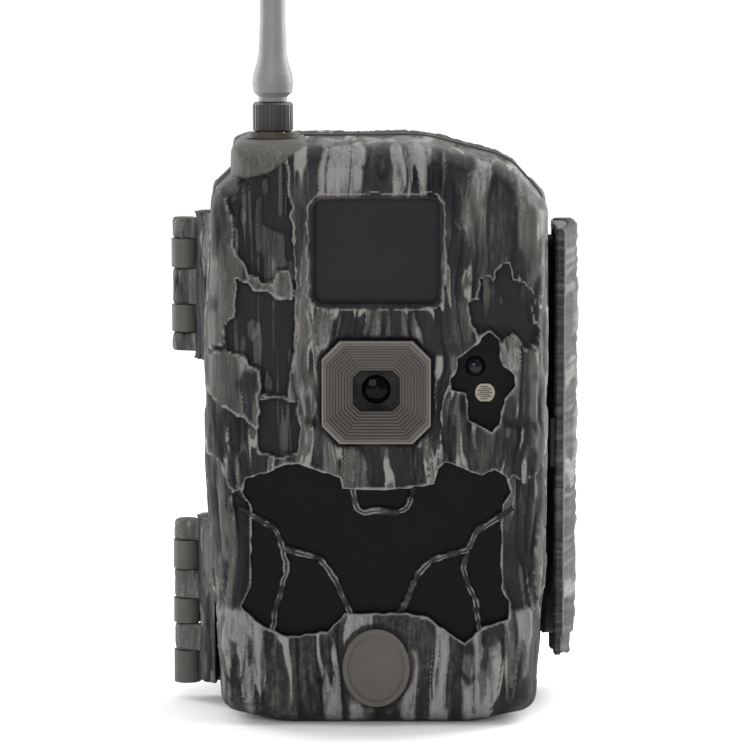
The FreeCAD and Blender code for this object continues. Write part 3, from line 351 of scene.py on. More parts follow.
def inset_corners(inset):
    """The case outline moved inward, as corner points and radii."""
    count = len(CASE_OUTLINE)
    lines = []
    for i in range(count):
        x0, z0, _ = CASE_OUTLINE[i]
        x1, z1, _ = CASE_OUTLINE[(i + 1) % count]
        length = math.hypot(x1 - x0, z1 - z0)
        ux = (x1 - x0) / length
        uz = (z1 - z0) / length
        lines.append((x0 - uz * inset, z0 + ux * inset, ux, uz))
    corners = []
    for i in range(count):
        ax, az, aux, auz = lines[i - 1]
        bx, bz, bux, buz = lines[i]
        cross = aux * buz - auz * bux
        reach = ((bx - ax) * buz - (bz - az) * bux) / cross
        corners.append((ax + aux * reach, az + auz * reach, max(CASE_OUTLINE[i][2] - inset, 1.5)))
    return corners


def corner_arc(before, corner, after, radius):
    """Start, end, centre and turn of the arc that rounds one corner."""
    a = Vector((before[0] - corner[0], before[1] - corner[1])).normalized()
    b = Vector((after[0] - corner[0], after[1] - corner[1])).normalized()
    here = Vector(corner[:2])
    half = a.angle(b) / 2
    tangent = radius / math.tan(half)
    centre = here + (a + b).normalized() * (radius / math.sin(half))
    return here + a * tangent, here + b * tangent, centre


def case_arcs(inset):
    """The arc at every corner of the case outline moved inward, each with where the next arc starts."""
    corners = inset_corners(inset)
    arcs = [corner_arc(corners[i - 1], corner, corners[(i + 1) % len(corners)], corner[2])
            for i, corner in enumerate(corners)]
    return [(*arc, following[0]) for arc, following in zip(arcs, arcs[1:] + arcs[:1])]


def outline_counts(spacing_of):
    """How many points each arc and each straight of the outline gets."""
    counts = []
    for start, end, _, following in case_arcs(0.0):
        on_arc = (end - start).length / spacing_of(start)
        on_run = (following - end).length / spacing_of((end + following) / 2)
        counts.append((max(3, round(on_arc)), max(1, round(on_run))))
    return counts


def outline_loop(inset, counts):
    """The rounded case outline at an inset, with the same number of points at every inset."""
    points = []
    for (start, end, centre, following), (on_arc, on_run) in zip(case_arcs(inset), counts):
        first = start - centre
        last = end - centre
        swing = first.angle_signed(last)
        for k in range(on_arc):
            angle = -swing * k / on_arc
            points.append((centre.x + first.x * math.cos(angle) - first.y * math.sin(angle),
                           centre.y + first.x * math.sin(angle) + first.y * math.cos(angle)))
        for k in range(on_run):
            t = k / on_run
            points.append((end.x + (following.x - end.x) * t, end.y + (following.y - end.y) * t))
    return np.array(points)


def loop_normals(loop):
    """Outward unit normals of an anticlockwise loop in X, Z."""
    ahead = np.roll(loop, -1, axis=0) - np.roll(loop, 1, axis=0)
    ahead /= np.linalg.norm(ahead, axis=1)[:, None]
    return np.stack([ahead[:, 1], -ahead[:, 0]], axis=1)


def ridge_spacing(place):
    """Fine where the grain crosses the outline, coarser where it runs along it."""
    if place[1] > 134.0:
        return 0.5
    if place[1] < 4.0:
        return 0.9
    return 0.95


def side_steps(start, end, steps):
    """Points at even steps along a straight side, without its end."""
    return [tuple(a + (b - a) * k / steps for a, b in zip(start, end)) for k in range(steps)]


def resample(outline, spacing):
    """Closed outline with points added so that none are further apart than the spacing."""
    points = []
    for start, end in zip(outline, outline[1:] + outline[:1]):
        length = math.hypot(end[0] - start[0], end[1] - start[1])
        points += side_steps(start, end, max(1, math.ceil(length / spacing)))
    return np.array(points)


def resample_evenly(outline, steps):
    """Closed outline with every side cut into the same number of steps."""
    points = []
    for start, end in zip(outline, outline[1:] + outline[:1]):
        points += side_steps(start, end, steps)
    return np.array(points)


# ---- mesh helpers


def new_object(name, data):
    made = bpy.data.objects.new(name, data)
    bpy.context.scene.collection.objects.link(made)
    return made


def make_mesh(name, points, faces, material, body, attributes=None, slot=None, smooth_faces=True,
              replaced=()):
    """A mesh object from millimetre points, riding on a body."""
    mesh = bpy.data.meshes.new(name)
    mesh.from_pydata((np.asarray(points) * MM).tolist(), [], faces)
    mesh.validate()
    shell = bmesh.new()
    shell.from_mesh(mesh)
    bmesh.ops.recalc_face_normals(shell, faces=shell.faces)
    shell.to_mesh(mesh)
    shell.free()
    for key, values in (attributes or {}).items():
        layer = mesh.attributes.new(key, "FLOAT", "POINT")
        layer.data.foreach_set("value", np.asarray(values, np.float32))
    mesh.polygons.foreach_set("use_smooth", [smooth_faces] * len(mesh.polygons))
    mesh.materials.append(material)
    piece = new_object(name, mesh)
    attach(piece, body)
    if replaced:
        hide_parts(*replaced)
    return piece


def bark_piece(name, points, faces, body, relief, tone, wear, material=None, **options):
    """A bark-covered piece, with the three fields that the bark material reads at each point."""
    fields = {"relief": relief, "tone": np.full(len(points), tone), "wear": np.full(len(points), wear)}
    return make_mesh(name, points, faces, material or BARK, body, fields, "bark_plastic", **options)


def ring_faces(first, second, count, flip=False):
    """Quads between two closed rings of points."""
    faces = []
    for i in range(count):
        j = (i + 1) % count
        quad = (first + i, first + j, second + j, second + i)
        faces.append(quad[::-1] if flip else quad)
    return faces


def triangulate(loops, extra):
    """Triangles of the region inside the first loop and outside the others."""
    points = np.concatenate(loops + ([extra] if len(extra) else []))
    edges = []
    loop_of = np.full(len(points), -1)
    start = 0
    for number, loop in enumerate(loops):
        edges += [(start + i, start + (i + 1) % len(loop)) for i in range(len(loop))]
        loop_of[start:start + len(loop)] = number
        start += len(loop)
    out = delaunay_2d_cdt([Vector(p) for p in points], edges, [], 1, 1e-6)
    if not all(out[3]):
        raise RuntimeError("the outlines cross, so the triangulation added points")
    order = [source[0] for source in out[3]]
    triangles = np.array([[order[i] for i in face] for face in out[2]])
    centres = points[triangles].mean(axis=1)
    keep = np.ones(len(triangles), bool)
    for number, loop in enumerate(loops[1:], 1):
        spans = np.all(loop_of[triangles] == number, axis=1)
        keep &= ~spans | (polygon_distance(centres[:, 0], centres[:, 1], loop) > 0)
    triangles = triangles[keep]
    a, b, c = points[triangles[:, 0]], points[triangles[:, 1]], points[triangles[:, 2]]
    turn = (b[:, 0] - a[:, 0]) * (c[:, 1] - a[:, 1]) - (b[:, 1] - a[:, 1]) * (c[:, 0] - a[:, 0])
    triangles[turn < 0] = triangles[turn < 0][:, ::-1]
    return points, triangles


# ---- front bark


def front_wall_relief(loop, y, normals):
    """Height, lightness, paint level and rubbed edges for one ring of the front case's wall."""
    x = loop[:, 0]
    z = loop[:, 1]
    face, tone, paint, rim = front_relief(x, z)
    top = smooth(0.35, 0.8, normals[:, 1])
    up, up_rim = grain(y, z, x * 0.02, 83)
    over, over_rim = grain(x * 0.8, y * 0.8, 3.0, 17)
    wall = blend(0.75 * up, 0.75 * over, top)
    off_block = smooth(-0.25, 0.25, polygon_distance(x, z, ANTENNA_BLOCK))
    back = smooth(FRONT_FACE + 2.5, FRONT_FACE + 7.0, y) * off_block
    height = blend(face, wall, back) * (1 - 0.55 * top)
    wall_paint = wall - np.where(x < 0, 0.30, 0.10) * (1 - top)
    wall_rim = blend(up_rim, over_rim, top)
    # the tone rises to 0.6 where the wall faces up: a painted highlight along the top edge
    return height, blend(tone, 0.6 * top, back), blend(paint, wall_paint, back), blend(rim, wall_rim, back)


def front_bark():
    """The bark-covered front moulding: displaced face, rolled edge, walls and a plain inside."""
    counts = outline_counts(ridge_spacing)
    face_loop = outline_loop(FACE_INSET + SIDE_INSET, counts)
    count = len(face_loop)
    holes = [
        resample(rounded_box(PIR_CENTRE, PIR_HALF, 2.2), 0.5),
        resample(octagon(LENS_CENTRE, BEZEL_HALF, BEZEL_CHAMFER), 0.6),
        resample(SENSOR_OUTLINE, 0.45),
        resample(INFRARED_OUTLINE, 0.45),
    ]
    for hole in holes[2:]:
        wander = [noise(hole[:, 0] / 1.9, 4.0 * k, hole[:, 1] / 1.9, 90) for k in range(2)]
        hole += 0.3 * np.stack(wander, axis=1)
    grid_x, grid_z = np.meshgrid(np.arange(-36, 36.01, 0.35), np.arange(7.0, 138.01, 0.52))
    grid_x = grid_x + 0.175 * (np.arange(len(grid_x)) % 2)[:, None]
    grid = np.stack([grid_x.ravel(), grid_z.ravel()], axis=1)
    keep = polygon_distance(grid[:, 0], grid[:, 1], face_loop) < -0.35
    for hole in holes:
        keep &= polygon_distance(grid[:, 0], grid[:, 1], hole) > 0.25
    flat, triangles = triangulate([face_loop] + holes, grid[keep])
    height, tone, paint, rim = front_relief(flat[:, 0], flat[:, 1])
    points = [np.stack([flat[:, 0], FRONT_FACE - height, flat[:, 1]], axis=1)]
    heights = [paint]
    tones = [tone]
    wears = [rim]
    faces = [tuple(t) for t in triangles.tolist()]
    # rolled edge, then the walls back to the rim
    total = len(flat)
    previous = 0
    rings = []
    for step in range(1, ROUND_STEPS + 1):
        angle = math.radians(90 * step / ROUND_STEPS)
        inset = SIDE_INSET + FACE_INSET * (1 - math.sin(angle))
        rings.append((inset, FRONT_FACE + ROUND_DEPTH * (1 - math.cos(angle)), angle))
    y = FRONT_FACE + ROUND_DEPTH
    while y < FRONT_RIM - 0.3:
        y = min(y + 0.62, FRONT_RIM)
        rings.append((SIDE_INSET, y, math.pi / 2))
    for inset, y, angle in rings:
        loop = outline_loop(inset, counts)
        normals = loop_normals(loop)
        height, tone, paint, rim = front_wall_relief(loop, y, normals)
        height = height * smooth(0.0, 5.0, loop[:, 1]) - 0.15
        fade = smooth(FRONT_RIM, FRONT_RIM - 2.0, y)
        height = height * fade
        push = math.sin(angle) * height
        ring = np.stack([loop[:, 0] + normals[:, 0] * push, np.full(count, y) - math.cos(angle) * height,
                         np.maximum(loop[:, 1] + normals[:, 1] * push, 0.02)], axis=1)
        points.append(ring)
        heights.append(paint)
        tones.append(tone)
        wears.append(rim)
        faces += ring_faces(previous, total, count, flip=True)
        previous = total
        total += count
    # plain inside: rim, wall, then the back of the face
    inner = [(2.8, FRONT_RIM), (3.0, -24.0), (4.2, -31.5), (6.2, WALL_BACK)]
    for inset, y in inner:
        loop = outline_loop(inset, counts)
        ring = np.stack([loop[:, 0], np.full(count, y), np.maximum(loop[:, 1], 0.9)], axis=1)
        points.append(ring)
        for values in (heights, tones, wears):
            values.append(np.zeros(count))
        faces += ring_faces(previous, total, count, flip=True)
        previous = total
        total += count
    back_loop = outline_loop(6.2, counts)
    back, back_triangles = triangulate([back_loop] + holes, np.zeros((0, 2)))
    shift = total - count
    hole_start = count
    back_index = np.arange(len(back))
    back_index[:count] = shift + np.arange(count)
    back_index[count:] = total + np.arange(len(back) - count)
    points.append(np.stack([back[count:, 0], np.full(len(back) - count, WALL_BACK), back[count:, 1]], axis=1))
    for values in (heights, tones, wears):
        values.append(np.full(len(back) - count, -1.0 if values is heights else 0.0))
    faces += [tuple(int(back_index[i]) for i in t[::-1]) for t in back_triangles]
    front_start = count
    for hole in holes:
        faces += ring_faces(front_start, int(back_index[hole_start]), len(hole))
        front_start += len(hole)
        hole_start += len(hole)
    return bark_piece("front_bark", np.concatenate(points), faces, "front_case", np.concatenate(heights),
                      np.concatenate(tones), np.concatenate(wears), replaced=["front_shell"])


# ---- twigs, hinge lobes, rear bark and latch


def closed_loft(rings):
    """Points and faces of a solid through closed rings with equal counts, capped at both ends."""
    count = len(rings[0])
    faces = []
    for k in range(len(rings) - 1):
        faces += ring_faces(k * count, (k + 1) * count, count)
    faces.append(tuple(range(count))[::-1])
    faces.append(tuple(range((len(rings) - 1) * count, len(rings) * count)))
    return np.concatenate(rings), faces


def joined(solids):
    """Several point-and-face lists as one."""
    points = []
    faces = []
    total = 0
    for own_points, own_faces in solids:
        faces += [tuple(i + total for i in face) for face in own_faces]
        points.append(own_points)
        total += len(own_points)
    return np.concatenate(points), faces


def window_twigs():
    """Thin bark twigs that cross the infrared window."""
    section = [(-1.0, WALL_BACK + 0.05), (-1.0, -35.2), (-0.55, -35.8), (0.0, -35.65), (0.55, -35.8),
               (1.0, -35.2), (1.0, WALL_BACK + 0.05)]
    edge_wear = np.array([0.0, 0.2, 0.9, 0.0, 0.9, 0.2, 0.0])
    solids = []
    wears = []
    for number, route in enumerate(TWIGS):
        line = []
        for start, end in zip(route, route[1:]):
            line += side_steps(start, end, math.ceil(math.hypot(end[0] - start[0], end[1] - start[1]) / 0.7))
        line = np.array(line + [route[-1]])
        for _ in range(2):
            line[1:-1] = (line[:-2] + 2 * line[1:-1] + line[2:]) / 4
        line[:, 0] += 0.22 * noise(line[:, 0] / 1.5, number * 5.0, line[:, 1] / 1.5, 120)
        ahead = np.gradient(line, axis=0)
        ahead /= np.linalg.norm(ahead, axis=1)[:, None]
        side = np.stack([-ahead[:, 1], ahead[:, 0]], axis=1)
        width = TWIG_HALF * (1 + 0.28 * noise(line[:, 0] / 1.1, number * 3.0, line[:, 1] / 1.1, 121))
        lift = 0.25 * noise(line[:, 0] / 0.9, number * 3.0, line[:, 1] / 0.9, 122)
        rubbed = smooth(-0.5, 0.4, noise(line[:, 0] / 1.6, number * 3.0, line[:, 1] / 1.6, 123))
        rings = []
        for k in range(len(line)):
            rings.append(np.array([[line[k, 0] + side[k, 0] * width[k] * a,
                                    y - (lift[k] if abs(a) < 0.9 else 0.0),
                                    line[k, 1] + side[k, 1] * width[k] * a] for a, y in section]))
            wears.append(edge_wear * rubbed[k])
        solids.append(closed_loft(rings))
    points, faces = joined(solids)
    wears = np.concatenate(wears)
    patches = noise(points[:, 0] / 1.3, 0.0, points[:, 2] / 1.3, 124)
    relief = np.where(points[:, 1] < -35.0, -0.35 + 0.4 * patches, -0.9)
    return bark_piece("window_twigs", points, faces, "front_case", relief, 0.0, wears, smooth_faces=False)


def grown_column(section, z0, z1, depth, seed, pinch=0.3, spacing=0.7):
    """Upright solid over a plan section, with bark grain pressed into its sides."""
    loop = resample(section, 0.7)
    normals = loop_normals(loop)
    levels = np.linspace(z0, z1, max(4, round((z1 - z0) / spacing)))
    rings = []
    reliefs = []
    rims = []
    for z in levels:
        rise = min(z - z0, z1 - z)
        tuck = pinch * (1 - smooth(0.0, 0.9, rise))
        height, rim = grain(loop[:, 0] * 1.3, z, loop[:, 1] * 1.3, seed)
        push = np.minimum(depth * (height - 0.35), 0.0) - tuck
        ring = loop + normals * push[:, None]
        rings.append(np.stack([ring[:, 0], ring[:, 1], np.full(len(loop), z)], axis=1))
        reliefs.append(height)
        rims.append(0.7 * rim)
    return closed_loft(rings), np.concatenate(reliefs), np.concatenate(rims)


FRONT_LOBES = [(12.6, 19.4), (26.0, 33.3), (40.9, 46.0), (89.0, 93.7), (100.8, 109.9), (117.4, 122.6)]
HINGE_X = -48.0
HINGE_Y = -2.0
KNUCKLE_R = 3.38


def hinge_lobes():
    """The front case's share of the hinge: round lobes on the pin and the bark band that carries them."""
    barrel = []
    for step in range(19):
        angle = math.radians(-8 + 278 * step / 18)
        barrel.append((HINGE_X + KNUCKLE_R * math.cos(angle), HINGE_Y + KNUCKLE_R * math.sin(angle)))
    lobe_section = [(-41.0, -2.5)] + barrel + [(-44.8, -6.4), (-43.2, -8.4), (-41.0, -10.5)]
    band_section = [(-40.5, -3.0), (-43.6, -3.0), (-44.1, -5.0), (-44.5, -6.6), (-43.7, -8.8), (-42.6, -11.4),
                    (-40.5, -14.0)]
    columns = []
    for z0, z1 in FRONT_LOBES:
        solid, relief, rim = grown_column(lobe_section, z0 + 0.1, z1 - 0.1, 0.35, 131)
        columns.append((solid, relief + 0.5, rim))
    for z0, z1 in ((6.0, 47.6), (87.6, 124.4)):
        solid, relief, rim = grown_column(band_section[::-1], z0, z1, 0.6, 137, pinch=0.4)
        columns.append((solid, relief - 0.25, rim))
    solids, reliefs, rims = zip(*columns)
    points, faces = joined(solids)
    return bark_piece("hinge_lobes", points, faces, "front_case", np.concatenate(reliefs), 0.1,
                      np.concatenate(rims))


def profile_at(position):
    """Depth, inset and outward tilt along the rear case's side and round onto its back."""
    corners = [(REAR_RIM + 0.5, 0.0), (12.0, 0.3), (21.0, 2.2), (REAR_FACE, 6.0), (REAR_FACE, 12.5)]
    for (y0, in0), (y1, in1) in zip(corners, corners[1:]):
        length = math.hypot(y1 - y0, in1 - in0)
        if position <= length or (y1, in1) == corners[-1]:
            t = min(position / length, 1.0)
            return y0 + (y1 - y0) * t, in0 + (in1 - in0) * t, math.atan2(in1 - in0, y1 - y0)
        position -= length


def rear_bark():
    """Bark skin over the sides, the top and the rounded border of the back of the rear case."""
    counts = outline_counts(ridge_spacing)
    base = outline_loop(0.0, counts)
    low = np.where(base[:, 1] < 4.0)[0]
    start = low[np.argmax(np.diff(np.append(low, low[0] + len(base))))] + 1
    order = (np.arange(len(base) - len(low)) + start) % len(base)
    count = len(order)
    total_length = 38.2
    positions = np.linspace(0.0, total_length, 58)
    outer = []
    reliefs = []
    rims = []
    for position in positions:
        y, inset, tilt = profile_at(position)
        loop = outline_loop(inset, counts)
        normals = loop_normals(loop)[order]
        loop = loop[order]
        x = loop[:, 0]
        z = loop[:, 1]
        top = smooth(0.35, 0.8, normals[:, 1])
        up, up_rim = grain(position, z, x * 0.02, 151)
        over, over_rim = grain(x, position * 1.2, 0.0, 11)
        back, back_rim = grain(x, z, 7.0, 157)
        face = smooth(20.0, 26.0, position)
        height = blend(blend(up, over, top), back, face)
        rim = blend(blend(up_rim, over_rim, top), back_rim, face)
        height = np.clip(0.55 + 0.8 * height, 0.04, 1.0)
        height = height * (1 - 0.6 * top * (1 - face))
        fade = smooth(1.6, 4.5, position) * smooth(total_length, total_length - 3.0, position)
        fade = fade * smooth(0, 10, np.arange(count)) * smooth(0, 10, np.arange(count)[::-1])
        lift = height * fade + 0.05 * fade - 0.15 * (1 - fade)
        side = math.cos(tilt) * lift
        skin = [x + normals[:, 0] * side, y + math.sin(tilt) * lift, z + normals[:, 1] * side]
        outer.append(np.stack(skin, axis=1))
        reliefs.append(height * fade * (1.5 + 1.5 * top * (1 - face)) - 1.15)
        rims.append(rim * fade)
    inner = []
    for position in (total_length, 26.5, 19.0, 13.2, 0.0):
        y, inset, tilt = profile_at(position)
        loop = outline_loop(inset + 0.6, counts)[order]
        inner.append(np.stack([loop[:, 0], np.full(count, min(y, REAR_FACE - 0.6)), loop[:, 1]], axis=1))
    rows = outer + inner
    faces = []
    for k in range(len(rows)):
        a = k * count
        b = ((k + 1) % len(rows)) * count
        faces += [(a + i, b + i, b + i + 1, a + i + 1) for i in range(count - 1)]
    faces.append(tuple(k * count for k in range(len(rows)))[::-1])
    faces.append(tuple(k * count + count - 1 for k in range(len(rows))))
    plain = np.zeros(count * len(inner))
    relief = np.concatenate(reliefs + [plain - 1.0])
    return bark_piece("rear_bark", np.concatenate(rows), faces, "rear_case", relief, 0.1,
                      np.concatenate(rims + [plain]))


LATCH_Z = (14.6, 121.0)
LATCH_EARS = [(30.0, 36.0), (100.0, 106.0)]
LATCH_SECTION = [
    (44.0, -21.0), (44.6, -21.9), (46.3, -21.6), (48.7, -14.0), (50.6, -6.0), (51.3, 2.0), (51.3, 9.5),
    (50.9, 14.0), (49.4, 16.2), (47.4, 16.0), (45.4, 15.2), (44.6, 13.6), (44.5, 11.9), (45.6, 10.4),
    (47.6, 9.4), (47.9, 2.0), (47.1, -8.0), (45.4, -16.5), (44.2, -18.6),
]
LATCH_CAP = [
    (44.5, -19.6), (45.6, -17.0), (47.3, -8.0), (48.1, 2.0), (47.8, 9.6), (45.8, 10.6), (44.7, 12.0),
    (44.5, 11.9),
]
LATCH_EAR_SECTION = LATCH_SECTION[:7] + [
    (51.1, 13.0), (50.95, 13.7), (50.5, 13.7), (50.45, 13.2), (50.4, 12.4), (49.8, 11.0),
    (48.9, 9.8), (48.3, 7.0),
] + LATCH_SECTION[15:]


def latch():
    """The long latch lever: a smooth front strip and ridged outer side, hung on its pin between the ears."""
    levels = []
    z = LATCH_Z[0]
    while z < LATCH_Z[1]:
        levels.append((z, any(e0 - 0.25 < z < e1 + 0.25 for e0, e1 in LATCH_EARS)))
        z += 0.55
    levels.append((LATCH_Z[1], False))
    for e0, e1 in LATCH_EARS:
        levels += [(e0 - 0.2, False), (e0 - 0.19, True), (e1 + 0.19, True), (e1 + 0.2, False)]
    levels.sort()
    rings = []
    reliefs = []
    for z, at_ear in levels:
        loop = resample_evenly(LATCH_EAR_SECTION if at_ear else LATCH_SECTION, 6)
        normals = loop_normals(loop)
        x = loop[:, 0]
        y = loop[:, 1]
        outside = smooth(0.3, 0.8, normals[:, 0]) * smooth(-21.0, -17.0, y) * smooth(16.0, 13.0, y)
        sway = 0.5 * noise(y / 6.0, 0.0, z / 12.0, 171)
        ridge = noise(z / 1.2 + sway, y / 14.0, 0.0, 172)
        chunk = noise(z / 6.0 + sway, y / 16.0, 0.0, 173)
        height = 0.38 * ridge + 0.35 * smooth(-0.1, 0.15, chunk) - 0.22
        faint = 0.05 * noise(z / 1.1, y / 9.0, 4.0, 174)
        ends = min(z - LATCH_Z[0], LATCH_Z[1] - z)
        foot = 0.9 * smooth(19.5, 18.8, z) * smooth(0.0, 0.5, normals[:, 0])
        tuck = 0.5 * (1 - smooth(0.0, 0.8, ends))
        push = np.minimum((height - 0.35) * outside, 0.0) + faint - 0.06 - foot - tuck
        if at_ear:
            push = push * smooth(10.0, 6.0, y)
        moved = loop + normals * push[:, None]
        slant = 5.0 * smooth(-20.0, 10.0, y) * (1 - smooth(0.0, 14.0, z - LATCH_Z[0]))
        rings.append(np.stack([moved[:, 0], moved[:, 1], z - slant], axis=1))
        reliefs.append(np.where(outside > 0.3, height * 2.2 - 0.10, -0.30 + 3 * faint))
    cap = [np.array([[x, y, z] for x, y in LATCH_CAP]) for z in (LATCH_Z[1] - 2.2, LATCH_Z[1] - 0.3)]
    points, faces = joined([closed_loft(rings), closed_loft(cap)])
    relief = np.concatenate(reliefs + [np.full(2 * len(LATCH_CAP), 0.1)])
    return bark_piece("latch_bark", points, faces, "latch", relief, 0.0, 0.0, LATCH, replaced=["latch_lever"])


def latch_nose():
    """Small hook behind the latch that catches the front case."""
    section = [(42.9, -20.6), (43.2, -20.9), (45.2, -20.9), (45.2, -18.5), (43.2, -18.5), (42.9, -18.8)]
    rings = []
    for z, tuck in ((62.0, 0.2), (62.2, 0.0), (73.8, 0.0), (74.0, 0.2)):
        rings.append(np.array([[x + tuck * (1 if x < 43.1 else 0), y, z] for x, y in section]))
    points, faces = closed_loft(rings)
    return make_mesh("latch_nose", points, faces, MATERIALS["black_plastic"], "latch", slot="black_plastic",
                     smooth_faces=False)


def latch_shade_rib():
    """Rib of the rear case that the latch closes over, painted dark as shade in the gap beside the latch."""
    section = [(41.8, 3.0), (45.6, 3.0), (46.4, 3.8), (46.4, 7.2), (45.6, 8.0), (41.8, 8.0)]
    (points, faces), relief, rim = grown_column(section, 15.4, 117.4, 0.5, 181, pinch=1.0)
    # relief lowered by 0.4 so that the rib paints dark: painted shade
    return bark_piece("latch_shade_rib", points, faces, "rear_case", relief - 0.4, 0.0, 0.5 * rim)


BEZEL_FACE = -37.95
BEZEL_STEPS = 9
STEP_IN = 0.72
STEP_DROP = 0.40


def lens_bezel():
    """Octagonal bezel stepped down toward the lens, each step with a painted highlight on its edge and
    painted shade at its foot.
    """
    def octagon_ring(inset, chamfer, y):
        half = (BEZEL_HALF[0] - 0.15 - inset, BEZEL_HALF[1] - 0.15 - inset)
        ring = resample_evenly(octagon(LENS_CENTRE, half, chamfer), 8)
        return np.stack([ring[:, 0], np.full(len(ring), y), ring[:, 1]], axis=1)
    # shade per ring: the outer edge and every step edge are painted pale as a highlight, the step feet
    # painted dark as shade
    rings = [
        (octagon_ring(-1.3, 4.8, -31.45), 0.5), (octagon_ring(-1.3, 4.8, -33.85), 0.5),
        (octagon_ring(0.0, 4.4, -33.85), 0.3), (octagon_ring(0.0, 4.4, -37.6), 0.6),
        (octagon_ring(0.12, 4.4, -37.85), 1.0), (octagon_ring(0.34, 4.4, BEZEL_FACE), 1.0),
        (octagon_ring(0.50, 4.4, BEZEL_FACE), 0.62), (octagon_ring(0.95, 4.4, BEZEL_FACE), 0.62),
    ]
    for step in range(BEZEL_STEPS):
        inset = 1.1 + STEP_IN * step
        chamfer = 4.4 - 0.28 * step
        top = BEZEL_FACE + STEP_DROP * step
        foot = top + STEP_DROP
        rings.append((octagon_ring(inset, chamfer, top), 1.0 if step < 1 else 0.74))
        # rings at the step's foot, darker: painted shade in the groove
        for further, shade in ((0.20, 0.20), (0.34, 0.45), (0.60, 0.50)):
            rings.append((octagon_ring(inset + further, chamfer, foot), shade))
    brink = octagon_ring(7.5, 1.9, -34.35)
    rings += [(brink, 0.6), (octagon_ring(7.6, 1.9, -34.2), 0.02)]
    turn = np.arctan2(brink[:, 2] - LENS_CENTRE[1], brink[:, 0] - LENS_CENTRE[0])
    for radius, y in ((3.75, -31.9), (3.75, -31.45)):
        mouth = np.stack([LENS_CENTRE[0] + radius * np.cos(turn), np.full(len(turn), y),
                          LENS_CENTRE[1] + radius * np.sin(turn)], axis=1)
        rings.append((mouth, 0.15))
    count = len(brink)
    faces = []
    for k in range(len(rings)):
        faces += ring_faces(k * count, (k + 1) % len(rings) * count, count)
    shades = np.repeat([shade for _, shade in rings], count)
    return make_mesh("stepped_bezel", np.concatenate([ring for ring, _ in rings]), faces, BEZEL, "front_case",
                     {"shade": shades}, "plain_plastic", smooth_faces=False, replaced=["lens_bezel"])


def light_sensor_tracks():
    """Fine zig-zag conductor on the face of the light sensor."""
    low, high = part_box("light_sensor")
    cx = (low.x + high.x) / 2 / MM
    cz = (low.z + high.z) / 2 / MM
    y = low.y / MM
    solids = []
    rows = 7
    for row in range(rows):
        z = cz - 1.5 + 3.0 * row / (rows - 1)
        reach = math.sqrt(max(2.05 ** 2 - (z - cz) ** 2, 0.2)) - 0.25
        offset = 0.25 if row % 2 else -0.25
        strip = [(cx - reach + max(offset, 0) * 2, z - 0.14), (cx + reach + min(offset, 0) * 2, z - 0.14),
                 (cx + reach + min(offset, 0) * 2, z + 0.14), (cx - reach + max(offset, 0) * 2, z + 0.14)]
        rings = [np.array([[px, depth, pz] for px, pz in strip]) for depth in (y - 0.06, y + 0.1)]
        solids.append(closed_loft(rings[::-1]))
    points, faces = joined(solids)
    return make_mesh("light_sensor_tracks", points, faces, TRACK, "front_case", slot="sensor_ceramic",
                     smooth_faces=False)


# ---- materials


def new_material(name):
    material = bpy.data.materials.new(name)
    material.use_nodes = True
    tree = material.node_tree
    shader = tree.nodes["Principled BSDF"]
    return material, tree, shader


def node(tree, kind, **settings):
    made = tree.nodes.new(kind)
    for key, value in settings.items():
        setattr(made, key, value)
    return made


def feed(made, key, value):
    """Give a node's input a constant, or link it to another node's output."""
    if isinstance(value, bpy.types.NodeSocket):
        made.id_data.links.new(value, made.inputs[key])
    else:
        made.inputs[key].default_value = value


def attribute_node(tree, name):
    return node(tree, "ShaderNodeAttribute", attribute_name=name).outputs["Fac"]


def math_node(tree, operation, first, second):
    made = node(tree, "ShaderNodeMath", operation=operation)
    feed(made, 0, first)
    feed(made, 1, second)
    return made.outputs[0]


def wavering(tree, base, field, share):
    """A value moved up and down by a noise about its middle."""
    offset = math_node(tree, "SUBTRACT", field, 0.5)
    return math_node(tree, "ADD", base, math_node(tree, "MULTIPLY", offset, share))


def noise_node(tree, scale, detail=3.0, roughness=0.55, stretch=(1.0, 1.0, 1.0)):
    """Noise in the object's own metres; stretch squeezes the pattern along each axis."""
    place = node(tree, "ShaderNodeTexCoord")
    mapping = node(tree, "ShaderNodeMapping")
    mapping.inputs["Scale"].default_value = stretch
    tree.links.new(place.outputs["Object"], mapping.inputs["Vector"])
    made = node(tree, "ShaderNodeTexNoise")
    made.inputs["Scale"].default_value = scale
    made.inputs["Detail"].default_value = detail
    made.inputs["Roughness"].default_value = roughness
    tree.links.new(mapping.outputs["Vector"], made.inputs["Vector"])
    return made.outputs["Fac"]


def ramp_node(tree, value, stops):
    made = node(tree, "ShaderNodeValToRGB")
    ramp = made.color_ramp
    while len(ramp.elements) < len(stops):
        ramp.elements.new(0.5)
    for element, (place, colour) in zip(ramp.elements, stops):
        element.position = place
        element.color = (*colour, 1.0)
    tree.links.new(value, made.inputs["Fac"])
    return made.outputs["Color"]


def map_range(tree, value, low, high, to_low=0.0, to_high=1.0):
    made = node(tree, "ShaderNodeMapRange")
    for key, number in (("From Min", low), ("From Max", high), ("To Min", to_low), ("To Max", to_high)):
        made.inputs[key].default_value = number
    tree.links.new(value, made.inputs["Value"])
    return made.outputs["Result"]


def mix_colour(tree, factor, first, second, mode="MIX"):
    made = node(tree, "ShaderNodeMix", data_type="RGBA", blend_type=mode)
    tree.links.new(factor, made.inputs["Factor"])
    for key, value in (("A", first), ("B", second)):
        sockets = [s for s in made.inputs if s.name == key and s.type == "RGBA"]
        if isinstance(value, tuple):
            sockets[0].default_value = (*value, 1.0)
        else:
            tree.links.new(value, sockets[0])
    return [s for s in made.outputs if s.type == "RGBA"][0]


def bump(tree, shader, height, strength, distance):
    made = node(tree, "ShaderNodeBump")
    made.inputs["Strength"].default_value = strength
    made.inputs["Distance"].default_value = distance
    tree.links.new(height, made.inputs["Height"])
    tree.links.new(made.outputs["Normal"], shader.inputs["Normal"])


